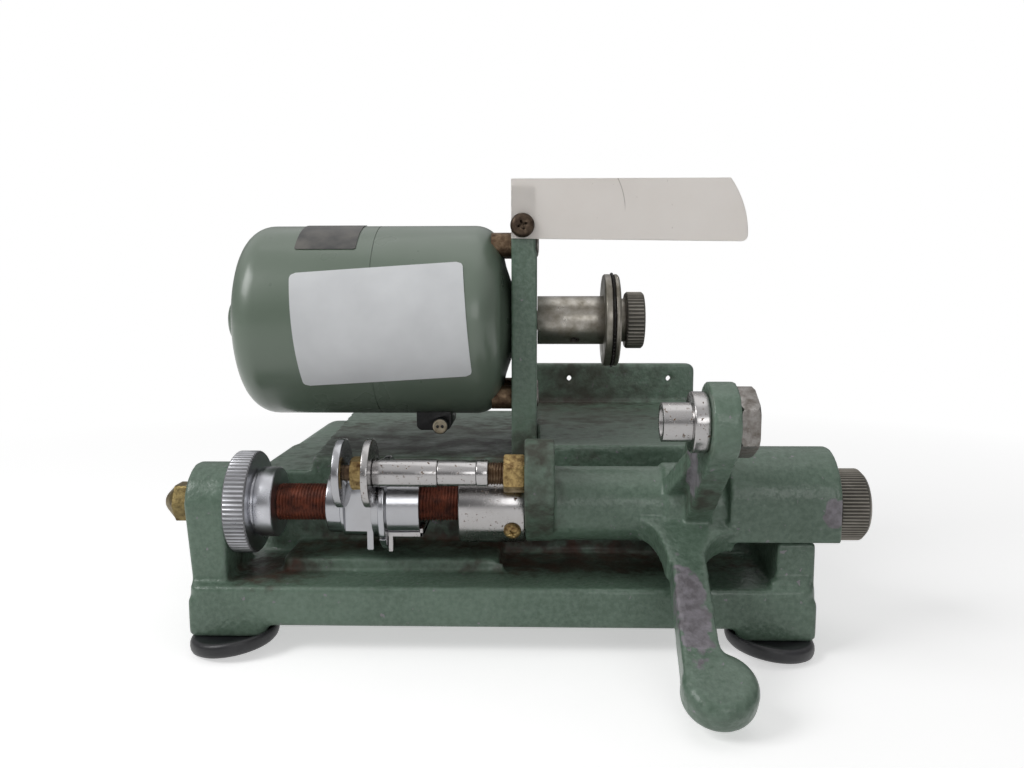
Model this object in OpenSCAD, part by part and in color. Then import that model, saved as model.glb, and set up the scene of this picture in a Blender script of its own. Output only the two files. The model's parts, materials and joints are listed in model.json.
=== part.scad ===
// Bench key duplicating machine with a screw-fed swinging carriage.
// Millimetres. X runs along the feed screw, Y to the back, Z up from the table.

/* [Base casting] */
// Left end of the base plinth
base_left = -147.1; // [-149:0.1:-146]
// Right end of the base plinth
base_right = 138; // [136.5:0.1:138.2]
// Front face of the plinth
base_front = -68.5; // [-72:0.5:-67]
// Back face of the base
base_back = 147.7; // [130:0.1:160]
// Height of the plinth's lower edge above the table
apron_z = 12.5; // [11:0.5:14]
// Height of the front deck
deck_z = 31; // [28:0.5:33]
// Wall thickness of the casting
base_wall = 7; // [5:0.5:9]
// Radius of the plinth's corners
plinth_r = 6; // [2:0.5:12]
// Height of the left shoulder of the rear box
shoulder_z = 73; // [68:0.5:76]
// Left end of the rear box
shoulder_left = -138.6; // [-142:0.2:-132]
// Radius of the left shoulder's top edge
shoulder_r = 14; // [6:1:20]
// Height of the motor plateau
plateau_z = 80; // [78:0.5:81]
// Height of the floor right of the bracket
floor_z = 86.5; // [83:0.5:90]
// Right end of the rear box
box_right = 119.6; // [115:0.1:124]
// Clear distance from the feed screw axis to the rear box
box_clear = 28.6; // [27.6:0.1:32]
// Height of the back wall
wall_top = 113.4; // [100:0.2:125]
// Thickness of the back wall
wall_t = 7; // [5:0.5:10]
// Width of the left post along the screw
left_post_w = 16.4; // [14:0.2:17]
// Width of the right post along the screw
right_post_w = 17.1; // [14:0.1:18]
// Radius of the left post's rounded head
post_r = 19; // [16:0.5:21]
// Height of the low block under the right post
low_block_z = 43; // [38:0.5:44]
// Length of the raised pad on the deck
pad_len = 104; // [60:1:106]
// Height of the raised pad above the deck
pad_h = 4; // [2:0.5:4.5]
// Depth of the raised pad from front to back
pad_depth = 18.5; // [10:0.5:19]
// Length of the motor plateau left of the bracket
plateau_len = 102; // [96:0.5:104]
// Spacing of the two tapped holes in the back wall
wall_hole_pitch = 67.3; // [40:0.1:75]
// Distance of the right wall hole from the wall's right end
wall_hole_inset = 17.3; // [10:0.1:24]
// Distance of the wall holes below the wall's top
wall_hole_drop = 10.2; // [6:0.1:14]
// Radius of the small tapped holes
tapped_r = 2; // [1:0.1:2.5]

/* [Feet] */
// Radius of a suction foot's rim
foot_r = 20; // [16:0.5:22]
// Height of the foot below its boss
foot_h = 7; // [5:0.5:9]
// Distance from the plinth's ends to a foot's centre
foot_inset = 19.5; // [18:0.5:24]
// Distance from the front face to the front feet
foot_front_inset = 6.5; // [6.2:0.1:12]
// Distance from the back face to the rear feet
foot_rear_inset = 24; // [16:1:40]
// Radius of a foot's fixing screw
foot_screw_r = 3; // [2:0.5:4]

/* [Feed screw] */
// Height of the feed screw axis above the table
screw_z = 64.3; // [63:0.1:66]
// Distance of the feed screw axis in front of the origin
screw_front = 43; // [42:0.5:45]
// Radius of the threaded bar
screw_r = 8.85; // [8:0.05:9.5]
// Radius of the end journals
journal_r = 6; // [4.5:0.25:7]
// Radial running clearance
run_fit = 0.05; // [0.02:0.01:0.1]
// Radial clearance of fixed fits
seat_fit = 0.03; // [0.01:0.01:0.06]
// Axial gap between turning faces
face_gap = 0.3; // [0.2:0.05:0.5]
// Radius of the feed wheel
wheel_r = 24.2; // [20:0.2:26]
// Width of the feed wheel's knurled rim
wheel_w = 10.4; // [7:0.2:11]
// Radius of the feed wheel's hub
wheel_hub_r = 16.5; // [12:0.5:18]
// Length of the feed wheel's hub
wheel_hub_len = 9.8; // [6:0.2:11]
// Number of knurls round the feed wheel
wheel_teeth = 72; // [48:1:90]
// Depth of a knurl
knurl_depth = 0.7; // [0.4:0.1:1.2]
// Size of the acorn nut across its flats
acorn_af = 17; // [14:0.5:19]
// Length of the acorn nut
acorn_len = 17; // [13:0.1:18]

/* [Traverse nut] */
// Travel of the traverse nut to each side
travel = 6; // [3:0.5:6]
// Radius of the left collar
collar_r = 14.3; // [12:0.1:15]
// Length of the left collar
collar_len = 7.2; // [6:0.2:9]
// Radius of the stop flange's hub
stop_hub_r = 15.6; // [13:0.1:16]
// Length of the stop flange's hub
stop_hub_len = 11.4; // [8:0.2:12]
// Radius of the stop flange
stop_r = 23; // [21:0.2:23.4]
// Thickness of each guide flange
flange_t = 3; // [2.5:0.1:3.5]
// Distance of the milled flat in front of the axis
flat_front = 10.6; // [9.5:0.1:12]
// Width of the groove that the guide disc runs in
groove_w = 4; // [3.9:0.1:4.4]
// Left side of the groove
groove_left = -63.9; // [-64.4:0.1:-63.6]
// Radius of the grooved nut's flange
nut_flange_r = 22; // [20:0.2:23]
// Radius of the grooved nut's body
nut_r = 16.2; // [14:0.1:17]
// Length of the grooved nut's body
nut_len = 14.9; // [12:0.1:16]
// Thickness of the key plate
key_t = 5; // [3:0.5:6]
// Depth of the key plate's groove in the rear box
key_depth = 4; // [2:0.5:4.5]

/* [Carriage] */
// Distance of the tracer rod from the feed screw axis
rod_reach = 32.6; // [32.2:0.1:33.4]
// Angle of the tracer rod above the front horizontal
rod_angle = 37.4; // [34:0.2:40]
// Left face of the carriage's lug
lug_left = 6.8; // [5:0.1:7.5]
// Width of the lug
lug_w = 13.1; // [10:0.1:14]
// Radius of the lug round the tracer rod
lug_rod_r = 15.5; // [12:0.5:16]
// Radius of the lug round the feed screw
lug_root_r = 17.9; // [16:0.1:18.5]
// Radius of the carriage's barrel
barrel_r = 17.4; // [15:0.2:18]
// Left end of the arm's root
root_left = 71; // [66:0.5:72]
// Left end of the saddle
saddle_left = 98.5; // [97:0.5:100]
// Right end of the saddle
saddle_right = 148.4; // [148.2:0.1:150]
// Radius of the saddle's round back
saddle_r = 23; // [22:0.1:23.2]
// Height of the saddle's centre above the screw axis
saddle_rise = 4.2; // [3:0.1:4.4]
// Wall thickness of the saddle
saddle_wall = 4; // [3:0.25:4.5]
// Drop of the saddle's front skirt below the screw axis
skirt_drop = 12.3; // [10:0.1:13]
// Angle of the saddle's back edge from the top
back_edge = 62; // [50:1:65]
// Width of the saddle's hollow
hollow_w = 38; // [34:0.5:38.5]
// Distance of the key holder from the feed screw axis
holder_reach = 77.1; // [75:0.1:78]
// Angle of the key holder arm above the front horizontal
holder_angle = 39; // [37:0.2:40]
// Radius of the key holder boss
boss_r = 16.2; // [13:0.2:17]
// Left face of the key holder boss
boss_left = 79.2; // [78:0.1:80]
// Width of the key holder boss
boss_w = 10.9; // [9:0.1:12]
// Angle of the handle below the front horizontal
handle_angle = 28.5; // [27:0.5:30]
// Distance of the handle's disc from the feed screw axis
handle_reach = 102.5; // [92:0.5:103]
// Radius of the handle's disc
handle_disc_r = 14.6; // [11:0.2:16]
// Thickness of the handle
handle_t = 13; // [10:0.5:14]
// Width of the handle's stem
handle_w = 15; // [11:0.5:17]
// Radius of the guide sleeve
sleeve_r = 18.6; // [17:0.1:19]
// Length of the guide sleeve
sleeve_len = 30.5; // [24:0.5:31]
// Angle of the sleeve's pan screw below the front horizontal
sleeve_screw_angle = 38; // [20:1:60]
// Distance of the sleeve's pan screw from the lug
sleeve_screw_inset = 5.7; // [4.5:0.1:8]

/* [Tracer rod] */
// Radius of the guide discs
disc_r = 15.3; // [14:0.1:15.6]
// Thickness of the inner guide disc
disc_t = 3.2; // [2.5:0.1:3.4]
// Left face of the outer guide disc
outer_disc_left = -76; // [-78:0.1:-75.6]
// Thickness of the outer guide disc
outer_disc_t = 3.4; // [2.5:0.1:4]
// Radius of the rod under the discs and spacers
rod_core_r = 3.5; // [2.5:0.1:4]
// Radius of the rod's thread
rod_thread_r = 5.2; // [4.5:0.1:5.5]
// Radius of the long spacer
spacer_r = 6.25; // [5.5:0.05:6.5]
// Length of the long spacer
long_spacer_len = 28.7; // [26:0.1:29.5]
// Length of the short spacer
short_spacer_len = 17.2; // [14:0.1:18]
// Length of the rod ring
ring_len = 5.1; // [3:0.1:6]
// Size of the disc nut across its flats
disc_nut_af = 13; // [10:0.5:14]
// Length of the disc nut
disc_nut_len = 4.4; // [3:0.1:4.4]
// Size of the rod's lock nut across its flats
lock_nut_af = 15; // [13:0.5:17]
// Length of the rod's lock nut
lock_nut_len = 9.2; // [7:0.1:9.6]

/* [Key holder] */
// Radius of the holder's bore
holder_bore_r = 5.5; // [4:0.1:6]
// Outer radius of the holder's nose
nose_r = 7.9; // [7:0.05:8.2]
// Length of the holder's nose
nose_len = 11.3; // [8:0.1:12]
// Radius of the holder's flange
holder_flange_r = 12.3; // [10:0.1:13]
// Length of the holder's flange
holder_flange_len = 6.5; // [4:0.1:7]
// Size of the holder nut across its flats
holder_nut_af = 25; // [22:0.5:27]
// Length of the holder nut
holder_nut_len = 7.7; // [6:0.1:8.4]
// Radius of the holder's threaded stem
holder_stem_r = 8; // [7:0.1:9]
// Radius of the end knob
knob_r = 16.8; // [14:0.1:18]
// Length of the end knob's knurled head
knob_len = 15.7; // [10:0.1:17]
// Radius of the end knob's stem
knob_stem_r = 5; // [4:0.1:6]

/* [Motor and spindle] */
// Distance of the spindle axis behind the origin
spindle_back = 12; // [10:0.5:13]
// Height of the spindle axis above the table
spindle_z = 148.4; // [147.5:0.1:150]
// Radius of the motor's shell
motor_r = 49; // [46:0.5:49.5]
// Length of the motor's shell
motor_len = 128.9; // [110:0.1:135]
// Gap between the motor's shell and the bracket
motor_gap = 9.5; // [7:0.5:12]
// Corner radius of the motor's shell
motor_corner = 20; // [12:1:26]
// Wall thickness of the motor's shell
shell_t = 2.5; // [1.5:0.1:3.5]
// Left face of the bracket plate
bracket_left = -0.3; // [-1:0.1:0]
// Thickness of the bracket plate
bracket_t = 12.7; // [10:0.1:13.5]
// Height of the shield's top edge above the bracket plate
shield_rise = 3; // [1:0.2:5]
// Depth of the bracket plate
bracket_depth = 76; // [70:1:90]
// Radius of the four motor spacers
spacer_post_r = 6; // [4:0.5:7]
// Sideways distance of the motor spacers from the axis
spacer_dy = 18; // [16:0.5:20]
// Upright distance of the motor spacers from the axis
spacer_dz = 38.5; // [34:0.5:42]
// Radius of the motor's shaft
shaft_r = 5; // [4:0.25:6]
// Radius of the threaded end of the shaft
arbor_r = 4; // [3:0.1:4.5]
// Angle of the hub's set screw below the front horizontal
set_screw_angle = 54; // [30:1:70]
// Bore of the stator
stator_bore_r = 27; // [24:0.5:30]
// Length of the stator and of the rotor
core_len = 46; // [36:1:60]
// Radius of the spindle hub
hub_r = 12.6; // [10:0.1:14]
// Right end of the spindle hub
hub_right = 46.9; // [42:0.1:48]
// Radius of the two clamping flanges
clamp_r = 24; // [20:0.2:24.4]
// Thickness of the inner clamping flange
inner_flange_t = 4; // [2:0.1:4.4]
// Radius of the cutting disc
cutter_r = 24.8; // [22:0.1:25]
// Thickness of the cutting disc
cutter_t = 0.8; // [0.6:0.1:1.2]
// Thickness of the outer clamping flange
outer_flange_t = 3.1; // [2:0.1:3.4]
// Length of the outer flange's neck under the clamp nut
clamp_neck = 3.5; // [2.5:0.1:4.5]
// Radius of the clamp nut
clamp_nut_r = 14.8; // [12:0.1:16]
// Length of the clamp nut
clamp_nut_len = 9.5; // [8:0.1:11]

/* [Shield] */
// Length of the shield to the right of the bracket's left face
shield_len = 114.5; // [90:0.5:120]
// Height of the shield
shield_h = 30.2; // [26:0.2:34]
// Radius of the shield's round end
shield_end_r = 41; // [36:1:60]
// Thickness of the shield
shield_t = 2; // [1.5:0.1:3]
// Height of the shield's top edge
shield_top = 218; // [215:0.2:219]
// Distance of the shield's pan screw below its top edge
shield_screw_drop = 22.3; // [18:0.1:26]
// Distance of the shield's pan screw from the bracket's left face
shield_screw_inset = 5.5; // [4.5:0.1:8]

/* [Hidden] */

round_fn = 96;
eps = 1;
screw_y = -screw_front;
spindle_y = spindle_back;
box_front = screw_y + box_clear;
left_post_right = base_left + left_post_w;
right_post_left = base_right - right_post_w;
bracket_right = bracket_left + bracket_t;
bracket_front = box_front - 2;
bracket_top = shield_top - shield_rise;
foot_left_x = base_left + foot_inset;
foot_right_x = base_right - foot_inset;
foot_front_y = base_front + foot_front_inset;
foot_rear_y = base_back - foot_rear_inset;
boss_half = 16.5;
boss_top_z = deck_z - base_wall;
boss_chamfer = 3;
foot_screw_top = deck_z - 5;
deck_hole_inset = 48;
deck_hole_x = base_left + deck_hole_inset;
foot_neck_r = 6;

wheel_left = left_post_right + face_gap;
wheel_hub_left = wheel_left + wheel_w;
wheel_right = wheel_hub_left + wheel_hub_len;
wheel_recess = 1.3;
acorn_right = base_left - face_gap;
acorn_left = acorn_right - acorn_len;
acorn_hex_len = acorn_len * 0.45;
acorn_roof = 4;
acorn_dome_r = acorn_af / 2 - 0.8;
acorn_dome_z = acorn_len - acorn_hex_len + face_gap - acorn_dome_r;

stop_right = groove_left;
stop_left = stop_right - flange_t;
stop_hub_left = stop_left - stop_hub_len;
collar_left = stop_hub_left - collar_len;
nut_left = groove_left + groove_w;
nut_body_left = nut_left + flange_t;
nut_right = nut_body_left + nut_len;
key_z = screw_z - nut_r;
key_lip = 1.6;
flat_inset = 1.4;
groove_floor_r = rod_reach - disc_r - 0.9;
notch_angle = 35;
notch_w = 2;
notch_depth = 2.5;
key_half = 11;
thread_fit = 0.05;

rod_y = screw_y - rod_reach * cos(rod_angle);
rod_z = screw_z + rod_reach * sin(rod_angle);
lug_right = lug_left + lug_w;
sleeve_left = lug_left - sleeve_len;
spigot_r = screw_r + 3;
spigot_len = lug_w / 2;
disc_inner_left = groove_left + (groove_w - disc_t) / 2;
disc_inner_right = disc_inner_left + disc_t;
long_spacer_right = disc_inner_right + long_spacer_len;
short_spacer_right = long_spacer_right + short_spacer_len;
ring_right = short_spacer_right + ring_len;
disc_nut_left = disc_inner_left - disc_nut_len;

holder_y = screw_y - holder_reach * cos(holder_angle);
holder_z = screw_z + holder_reach * sin(holder_angle);
boss_right = boss_left + boss_w;
hollow_right = saddle_right - saddle_wall;
hollow_left = hollow_right - hollow_w;
holder_left = boss_left - holder_flange_len - nose_len;
holder_nut_right = boss_right + holder_nut_len;
holder_end = holder_nut_right + 0.8;
handle_disc_x = boss_left + 1.5;
handle_rim = 5;
disc_swell = 0.8;
handle_stem_x = handle_disc_x - handle_disc_r + 1.2;
handle_lean = 4;
handle_fillet = 9;
neck_half = 9.5;
plateau_flare = 11;
wall_corner_r = 5;
low_block_inset = 5.5;
pad_left_offset = 105.2;
pad_corner_r = 3;
box_gap = 2;
head_r = 12;

motor_right = bracket_left - motor_gap;
motor_left = motor_right - motor_len;
motor_seam = motor_right - motor_len * 0.45;
motor_boss_r = 17;
pilot_len = 1.7;
ledge_t = 0.8;
ledge_drop = 13;
spacer_seat = 4;
cap_r = 12;
cap_len = 10;
cap_corner = 4;
cap_wall = 2;
bearing_r = 11;
bearing_w = 7;
inner_flange_right = hub_right + inner_flange_t;
cutter_right = inner_flange_right + cutter_t;
outer_flange_right = cutter_right + outer_flange_t;
clamp_nut_left = outer_flange_right + clamp_neck;
clamp_nut_right = clamp_nut_left + clamp_nut_len;
grommet_x = -41;
grommet_w = 18;
grommet_front = 7.5;
grommet_back = 4;
grommet_r = 3;
cord_x = -37;
cord_r = 4;
cord_core_r = 3.2;
cord_drop = 4.2;
cord_len = 22;
grommet_depth = 28;
shield_front = bracket_front - face_gap - shield_t;
shield_screw_x = bracket_left + shield_screw_inset;
shield_screw_z = shield_top - shield_screw_drop;
shield_screw_r = 3;
shield_grip = 12;
pan_profile = [[0, 0], [6, 0], [6, 1.6], [5.2, 3], [3.6, 3.8], [0, 4.1]];
bracket_bolt_x = bracket_left + bracket_t / 2;
bolt_front_inset = 22;
bolt_back_inset = 16;
bracket_bolt_y = [bracket_front + bolt_front_inset, bracket_front + bracket_depth - bolt_back_inset];
bracket_bolt_r = 4;
bolt_nut_h = 5.5;
bolt_grip = 16;
motor_bolt_r = 3;
motor_bolt_head = 4;
motor_bolt_af = 10;
wall_hole_x = [box_right - wall_hole_inset - wall_hole_pitch, box_right - wall_hole_inset];
wall_hole_z = wall_top - wall_hole_drop;
core_left = motor_seam - core_len / 2;
core_right = motor_seam + core_len / 2;
winding_len = 12;
winding_r = motor_r - shell_t - 5;
winding_bore_r = stator_bore_r + 4;
rotor_r = stator_bore_r - 1;
socket_len = 12;
set_screw_r = 2.5;
set_screw_x = hub_right - socket_len - 3;
sleeve_screw_x = lug_left - sleeve_screw_inset;
sleeve_screw_r = 2;
sleeve_screw_reach = 20;

casting_green = "#5f7d69";
motor_green = "#738778";
chrome = "#c6c8cc";
worn_steel = "#8f8c86";
brass = "#9c8445";
rust = "#6e3a2a";
black_rubber = "#1c1c1e";
copper = "#a5622f";
shield_cream = "#cdc8c0";

// ---- shapes ----

// Children drawn in the Y-Z plane, extruded from x0 to x1
module along_x(x0, x1)
    translate([x0, 0, 0]) rotate([90, 0, 90]) linear_extrude(height = x1 - x0) children();

// Children drawn in the X-Z plane, extruded from y0 to y1
module along_y(y0, y1)
    translate([0, y1, 0]) rotate([90, 0, 0]) linear_extrude(height = y1 - y0) children();

module rod_x(x0, x1, r)
    translate([x0, 0, 0]) rotate([0, 90, 0]) cylinder(h = x1 - x0, r = r, $fn = round_fn);

module tube_x(x0, x1, r, bore) difference() {
    rod_x(x0, x1, r);
    rod_x(x0 - eps, x1 + eps, bore);
}

// A cylinder along X with both rims chamfered by c
module chamfer_rod_x(x0, x1, r, c)
    translate([x0, 0, 0]) rotate([0, 90, 0]) rotate_extrude($fn = round_fn)
        polygon([[0, 0], [r - c, 0], [r, c], [r, x1 - x0 - c], [r - c, x1 - x0], [0, x1 - x0]]);

// A hexagonal bar along X with its corners rounded off by a cone at both ends
module hex_x(x0, x1, af) intersection() {
    translate([x0, 0, 0]) rotate([0, 90, 0]) cylinder(h = x1 - x0, r = af / sqrt(3), $fn = 6);
    chamfer_rod_x(x0, x1, af / sqrt(3) + 0.01, af * 0.045);
}

// A straight-knurled round outline
module knurl_outline(r, teeth)
    polygon([for (i = [0 : 2 * teeth - 1])
        (r - (i % 2) * knurl_depth) * [cos(180 * i / teeth), sin(180 * i / teeth)]]);

// A knurled wheel along X, its rim chamfered at both ends
module knurled_x(x0, x1, r, teeth, c) intersection() {
    along_x(x0, x1) knurl_outline(r, teeth);
    chamfer_rod_x(x0, x1, r + 0.01, c);
}

// A rectangle from p to q with corners rounded by r
module round_rect(p, q, r) {
    translate([p[0] + r, p[1]]) square([q[0] - p[0] - 2 * r, q[1] - p[1]]);
    translate([p[0], p[1] + r]) square([q[0] - p[0], q[1] - p[1] - 2 * r]);
    for (x = [p[0] + r, q[0] - r], y = [p[1] + r, q[1] - r])
        translate([x, y]) circle(r = r, $fn = 48);
}

// Two circles joined by their outer tangents; the second lies at distance d along +X
module link(r1, r2, d) {
    lean = asin((r1 - r2) / d);
    circle(r = r1, $fn = round_fn);
    translate([d, 0]) circle(r = r2, $fn = round_fn);
    polygon([
        r1 * [sin(lean), cos(lean)], [d, 0] + r2 * [sin(lean), cos(lean)],
        [d, 0] + r2 * [sin(lean), -cos(lean)], r1 * [sin(lean), -cos(lean)]]);
}

module at_screw() translate([0, screw_y, screw_z]) children();
module at_rod() translate([0, rod_y, rod_z]) children();
module at_holder() translate([0, holder_y, holder_z]) children();
module at_spindle() translate([0, spindle_y, spindle_z]) children();

// ---- base ----

module foot_boss(x, y, side) translate([x, y, 0]) mirror([side < 0 ? 1 : 0, 0, 0])
    translate([0, -boss_half, 0]) rotate([90, 0, 0]) mirror([0, 0, 1])
        linear_extrude(height = 2 * boss_half)
            polygon([
                [-boss_half + boss_chamfer, foot_h], [foot_inset - 2, foot_h],
                [foot_inset, foot_h + 2], [foot_inset, boss_top_z + eps],
                [-boss_half, boss_top_z + eps], [-boss_half, foot_h + boss_chamfer]]);

// The rear box seen from the front; a positive inset gives its hollow, open at the bottom
module rear_box_outline(inset) {
    low = inset > 0 ? -eps : apron_z;
    left = shoulder_left + inset;
    right = box_right - inset;
    plateau_left = bracket_left - plateau_len + inset;
    step_x = bracket_right + face_gap + inset;
    round_rect([left, low], [bracket_left - plateau_len / 2, shoulder_z - inset], shoulder_r - inset);
    translate([plateau_left, low]) square([step_x - plateau_left, plateau_z - low - inset]);
    translate([step_x, low]) square([right - step_x, floor_z - low - inset]);
    translate([left + shoulder_r, low]) square([right - left - shoulder_r, deck_z - low]);
}

module base_solid() {
    translate([0, 0, apron_z]) linear_extrude(height = deck_z - apron_z)
        round_rect([base_left, base_front], [base_right, base_back], plinth_r);
    along_y(box_front, base_back) rear_box_outline(0);
    // flared left edge of the motor plateau
    translate([bracket_left - plateau_len, 0, deck_z]) linear_extrude(height = plateau_z - deck_z)
        polygon([[plateau_flare / 2, box_front], [0, box_front + plateau_flare / 2],
            [-plateau_flare, base_back - wall_t], [plateau_len / 2, base_back]]);
    along_y(base_back - wall_t, base_back)
        round_rect([bracket_left, deck_z], [box_right, wall_top], wall_corner_r);
    at_screw() {
        rod_x(base_left, left_post_right, post_r);
        translate([base_left, -post_r, deck_z - screw_z - eps])
            cube([left_post_w, 2 * post_r, screw_z - deck_z + eps]);
    }
    // right post: low block, neck and bearing head
    along_x(right_post_left, base_right) translate([base_front + low_block_inset, deck_z - eps])
        square([box_front - base_front - low_block_inset + eps, low_block_z - deck_z + eps]);
    at_screw() {
        rod_x(right_post_left, base_right, head_r);
        translate([right_post_left, -neck_half, low_block_z - screw_z - eps])
            cube([right_post_w, 2 * neck_half, screw_z - low_block_z + eps]);
    }
    // raised pad on the deck
    translate([bracket_left - pad_left_offset, base_front + low_block_inset, deck_z - eps])
        linear_extrude(height = pad_h + eps) round_rect([0, 0], [pad_len, pad_depth], pad_corner_r);
    for (x = [foot_left_x, foot_right_x], y = [base_front + boss_half, base_back - boss_half])
        foot_boss(x, y, x);
}

module base_hollow() {
    inner_front = base_front + base_wall;
    difference() {
        union() {
            translate([base_left + base_wall, inner_front, -eps])
                cube([base_right - base_left - 2 * base_wall, base_back - base_wall - inner_front,
                    deck_z - base_wall + eps]);
            along_y(box_front + base_wall + box_gap, base_back - base_wall) rear_box_outline(base_wall);
        }
        for (x = [foot_left_x, foot_right_x], y = [base_front + boss_half, base_back - boss_half])
            foot_boss(x, y, x);
    }
}

module base_casting() color(casting_green) difference() {
    base_solid();
    base_hollow();
    at_screw() rod_x(base_left - eps, base_right + eps, journal_r + run_fit);
    // groove for the key plate's tongue
    translate([collar_left - travel, box_front - eps, key_z - face_gap])
        cube([nut_right - collar_left + 2 * travel + key_lip, key_depth + eps, key_t + 2 * face_gap]);
    for (x = [foot_left_x, foot_right_x], y = [foot_front_y, foot_rear_y])
        translate([x, y, 0]) cylinder(h = foot_screw_top + 2 * eps, r = foot_screw_r + seat_fit, $fn = 32);
    for (y = bracket_bolt_y) translate([bracket_bolt_x, y, plateau_z - base_wall - bolt_grip])
        cylinder(h = base_wall + 2 * bolt_grip, r = bracket_bolt_r + seat_fit, $fn = 32);
    // two tapped holes in the back wall and one in the deck
    for (x = wall_hole_x) translate([x, base_back + eps, wall_hole_z]) rotate([90, 0, 0])
        cylinder(h = wall_t + 2 * eps, r = tapped_r, $fn = 32);
    translate([deck_hole_x, box_front - 2.5 * tapped_r, deck_z - base_wall - eps])
        cylinder(h = base_wall + 2 * eps, r = tapped_r, $fn = 32);
}

// A rubber suction foot: a shallow cup with a neck seated on its boss
module suction_foot(x, y) color(black_rubber) translate([x, y, 0]) rotate_extrude($fn = round_fn)
    polygon([
        [0, foot_h * 0.6], [foot_r * 0.4, foot_h * 0.5], [foot_r * 0.75, foot_h * 0.18],
        [foot_r - 3, 0], [foot_r - 0.8, 0], [foot_r, foot_h * 0.1], [foot_r, foot_h * 0.24],
        [foot_r * 0.94, foot_h * 0.46], [foot_r * 0.82, foot_h * 0.66],
        [foot_r * 0.62, foot_h * 0.82], [foot_neck_r, foot_h * 0.92], [foot_neck_r, foot_h], [0, foot_h]]);

module foot_front_left() suction_foot(foot_left_x, foot_front_y);
module foot_front_right() suction_foot(foot_right_x, foot_front_y);
module foot_rear_left() suction_foot(foot_left_x, foot_rear_y);
module foot_rear_right() suction_foot(foot_right_x, foot_rear_y);

module foot_screws() color(worn_steel)
    for (x = [foot_left_x, foot_right_x], y = [foot_front_y, foot_rear_y])
        translate([x, y, foot_h]) cylinder(h = foot_screw_top - foot_h, r = foot_screw_r, $fn = 32);

// ---- motor bracket and motor ----

module motor_bracket() color(casting_green) difference() {
    translate([bracket_left, bracket_front, plateau_z])
        cube([bracket_t, bracket_depth, bracket_top - plateau_z]);
    // the plate is thinned a little above its ledge
    translate([bracket_right - ledge_t, bracket_front - eps, shield_screw_z - ledge_drop])
        cube([ledge_t + eps, bracket_depth + 2 * eps, bracket_top]);
    at_spindle() {
        rod_x(bracket_left - eps, bracket_right + eps, shaft_r + 3);
        rod_x(bracket_left - eps, bracket_left + pilot_len + face_gap, motor_boss_r + face_gap);
        for (y = [-spacer_dy, spacer_dy], z = [-spacer_dz, spacer_dz]) translate([0, y, z])
            rod_x(bracket_left - eps, bracket_right + eps, motor_bolt_r + seat_fit);
    }
    for (y = bracket_bolt_y) translate([bracket_bolt_x, y, plateau_z - eps])
        cylinder(h = bolt_grip + 2 * eps, r = bracket_bolt_r + seat_fit, $fn = 32);
    translate([shield_screw_x, bracket_front - eps, shield_screw_z]) rotate([-90, 0, 0])
        cylinder(h = shield_grip + 2 * eps, r = shield_screw_r + seat_fit, $fn = 32);
}

module bracket_bolts() color(worn_steel) for (y = bracket_bolt_y) translate([bracket_bolt_x, y, 0]) {
    translate([0, 0, plateau_z - base_wall]) cylinder(h = base_wall + bolt_grip, r = bracket_bolt_r, $fn = 32);
    translate([0, 0, plateau_z - base_wall - bolt_nut_h]) cylinder(h = bolt_nut_h, r = bracket_bolt_r + 2.5, $fn = 6);
}

module motor_spacers() color(rust) at_spindle()
    for (y = [-spacer_dy, spacer_dy], z = [-spacer_dz, spacer_dz]) translate([0, y, z])
        difference() {
            rod_x(motor_right - spacer_seat, bracket_left, spacer_post_r);
            rod_x(motor_right - spacer_seat - eps, bracket_left + eps, motor_bolt_r + seat_fit);
            // the inner end follows the rounded corner of the shell
            translate([0, -y, -z]) translate([motor_left, 0, 0]) rotate([0, 90, 0])
                motor_body(motor_len, motor_r);
        }

module motor_bolts() color(worn_steel) at_spindle()
    for (y = [-spacer_dy, spacer_dy], z = [-spacer_dz, spacer_dz]) translate([0, y, z]) {
        rod_x(motor_right - 2 * spacer_seat, bracket_right, motor_bolt_r);
        hex_x(bracket_right, bracket_right + motor_bolt_head, motor_bolt_af);
    }

// The motor's closed body along +Z, with both ends rounded
module motor_body(len, r) rotate_extrude($fn = round_fn) motor_profile(len, r, motor_corner);

module motor_profile(len, r, corner) {
    square([r - corner, len]);
    translate([0, corner]) square([r, len - 2 * corner]);
    for (z = [corner, len - corner]) translate([r - corner, z]) intersection() {
        circle(r = corner, $fn = 64);
        translate([0, -corner]) square([corner, 2 * corner]);
    }
}

module motor_shell(x0, x1) intersection() {
    difference() {
        translate([motor_left, 0, 0]) rotate([0, 90, 0]) motor_body(motor_len, motor_r);
        translate([motor_left + shell_t, 0, 0]) rotate([0, 90, 0]) rotate_extrude($fn = round_fn)
            motor_profile(motor_len - 2 * shell_t, motor_r - shell_t, motor_corner - shell_t);
    }
    rod_x(x0, x1, motor_r + eps);
}

module motor_front_shell() color(motor_green) at_spindle() difference() {
    union() {
        motor_shell(motor_seam, motor_right + eps);
        tube_x(motor_right - bearing_w - shell_t, motor_right - shell_t, bearing_r + 3, bearing_r + seat_fit);
        rod_x(motor_right - shell_t, bracket_left + pilot_len, motor_boss_r);
    }
    rod_x(motor_right - 2 * bearing_w, bracket_left + pilot_len + eps, shaft_r + 1);
    for (y = [-spacer_dy, spacer_dy], z = [-spacer_dz, spacer_dz]) translate([0, y, z])
        rod_x(motor_right - 3 * spacer_seat, motor_right + eps, motor_bolt_r + seat_fit);
}

module motor_rear_shell() color(motor_green) at_spindle() difference() {
    union() {
        motor_shell(motor_left - eps, motor_seam);
        tube_x(motor_left + shell_t, motor_left + shell_t + bearing_w, bearing_r + 3, bearing_r + seat_fit);
    }
    rod_x(motor_left - eps, motor_left + shell_t + eps, shaft_r + 1);
}

module motor_stator() color(worn_steel) at_spindle()
    tube_x(core_left, core_right, motor_r - shell_t - seat_fit, stator_bore_r);

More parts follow.
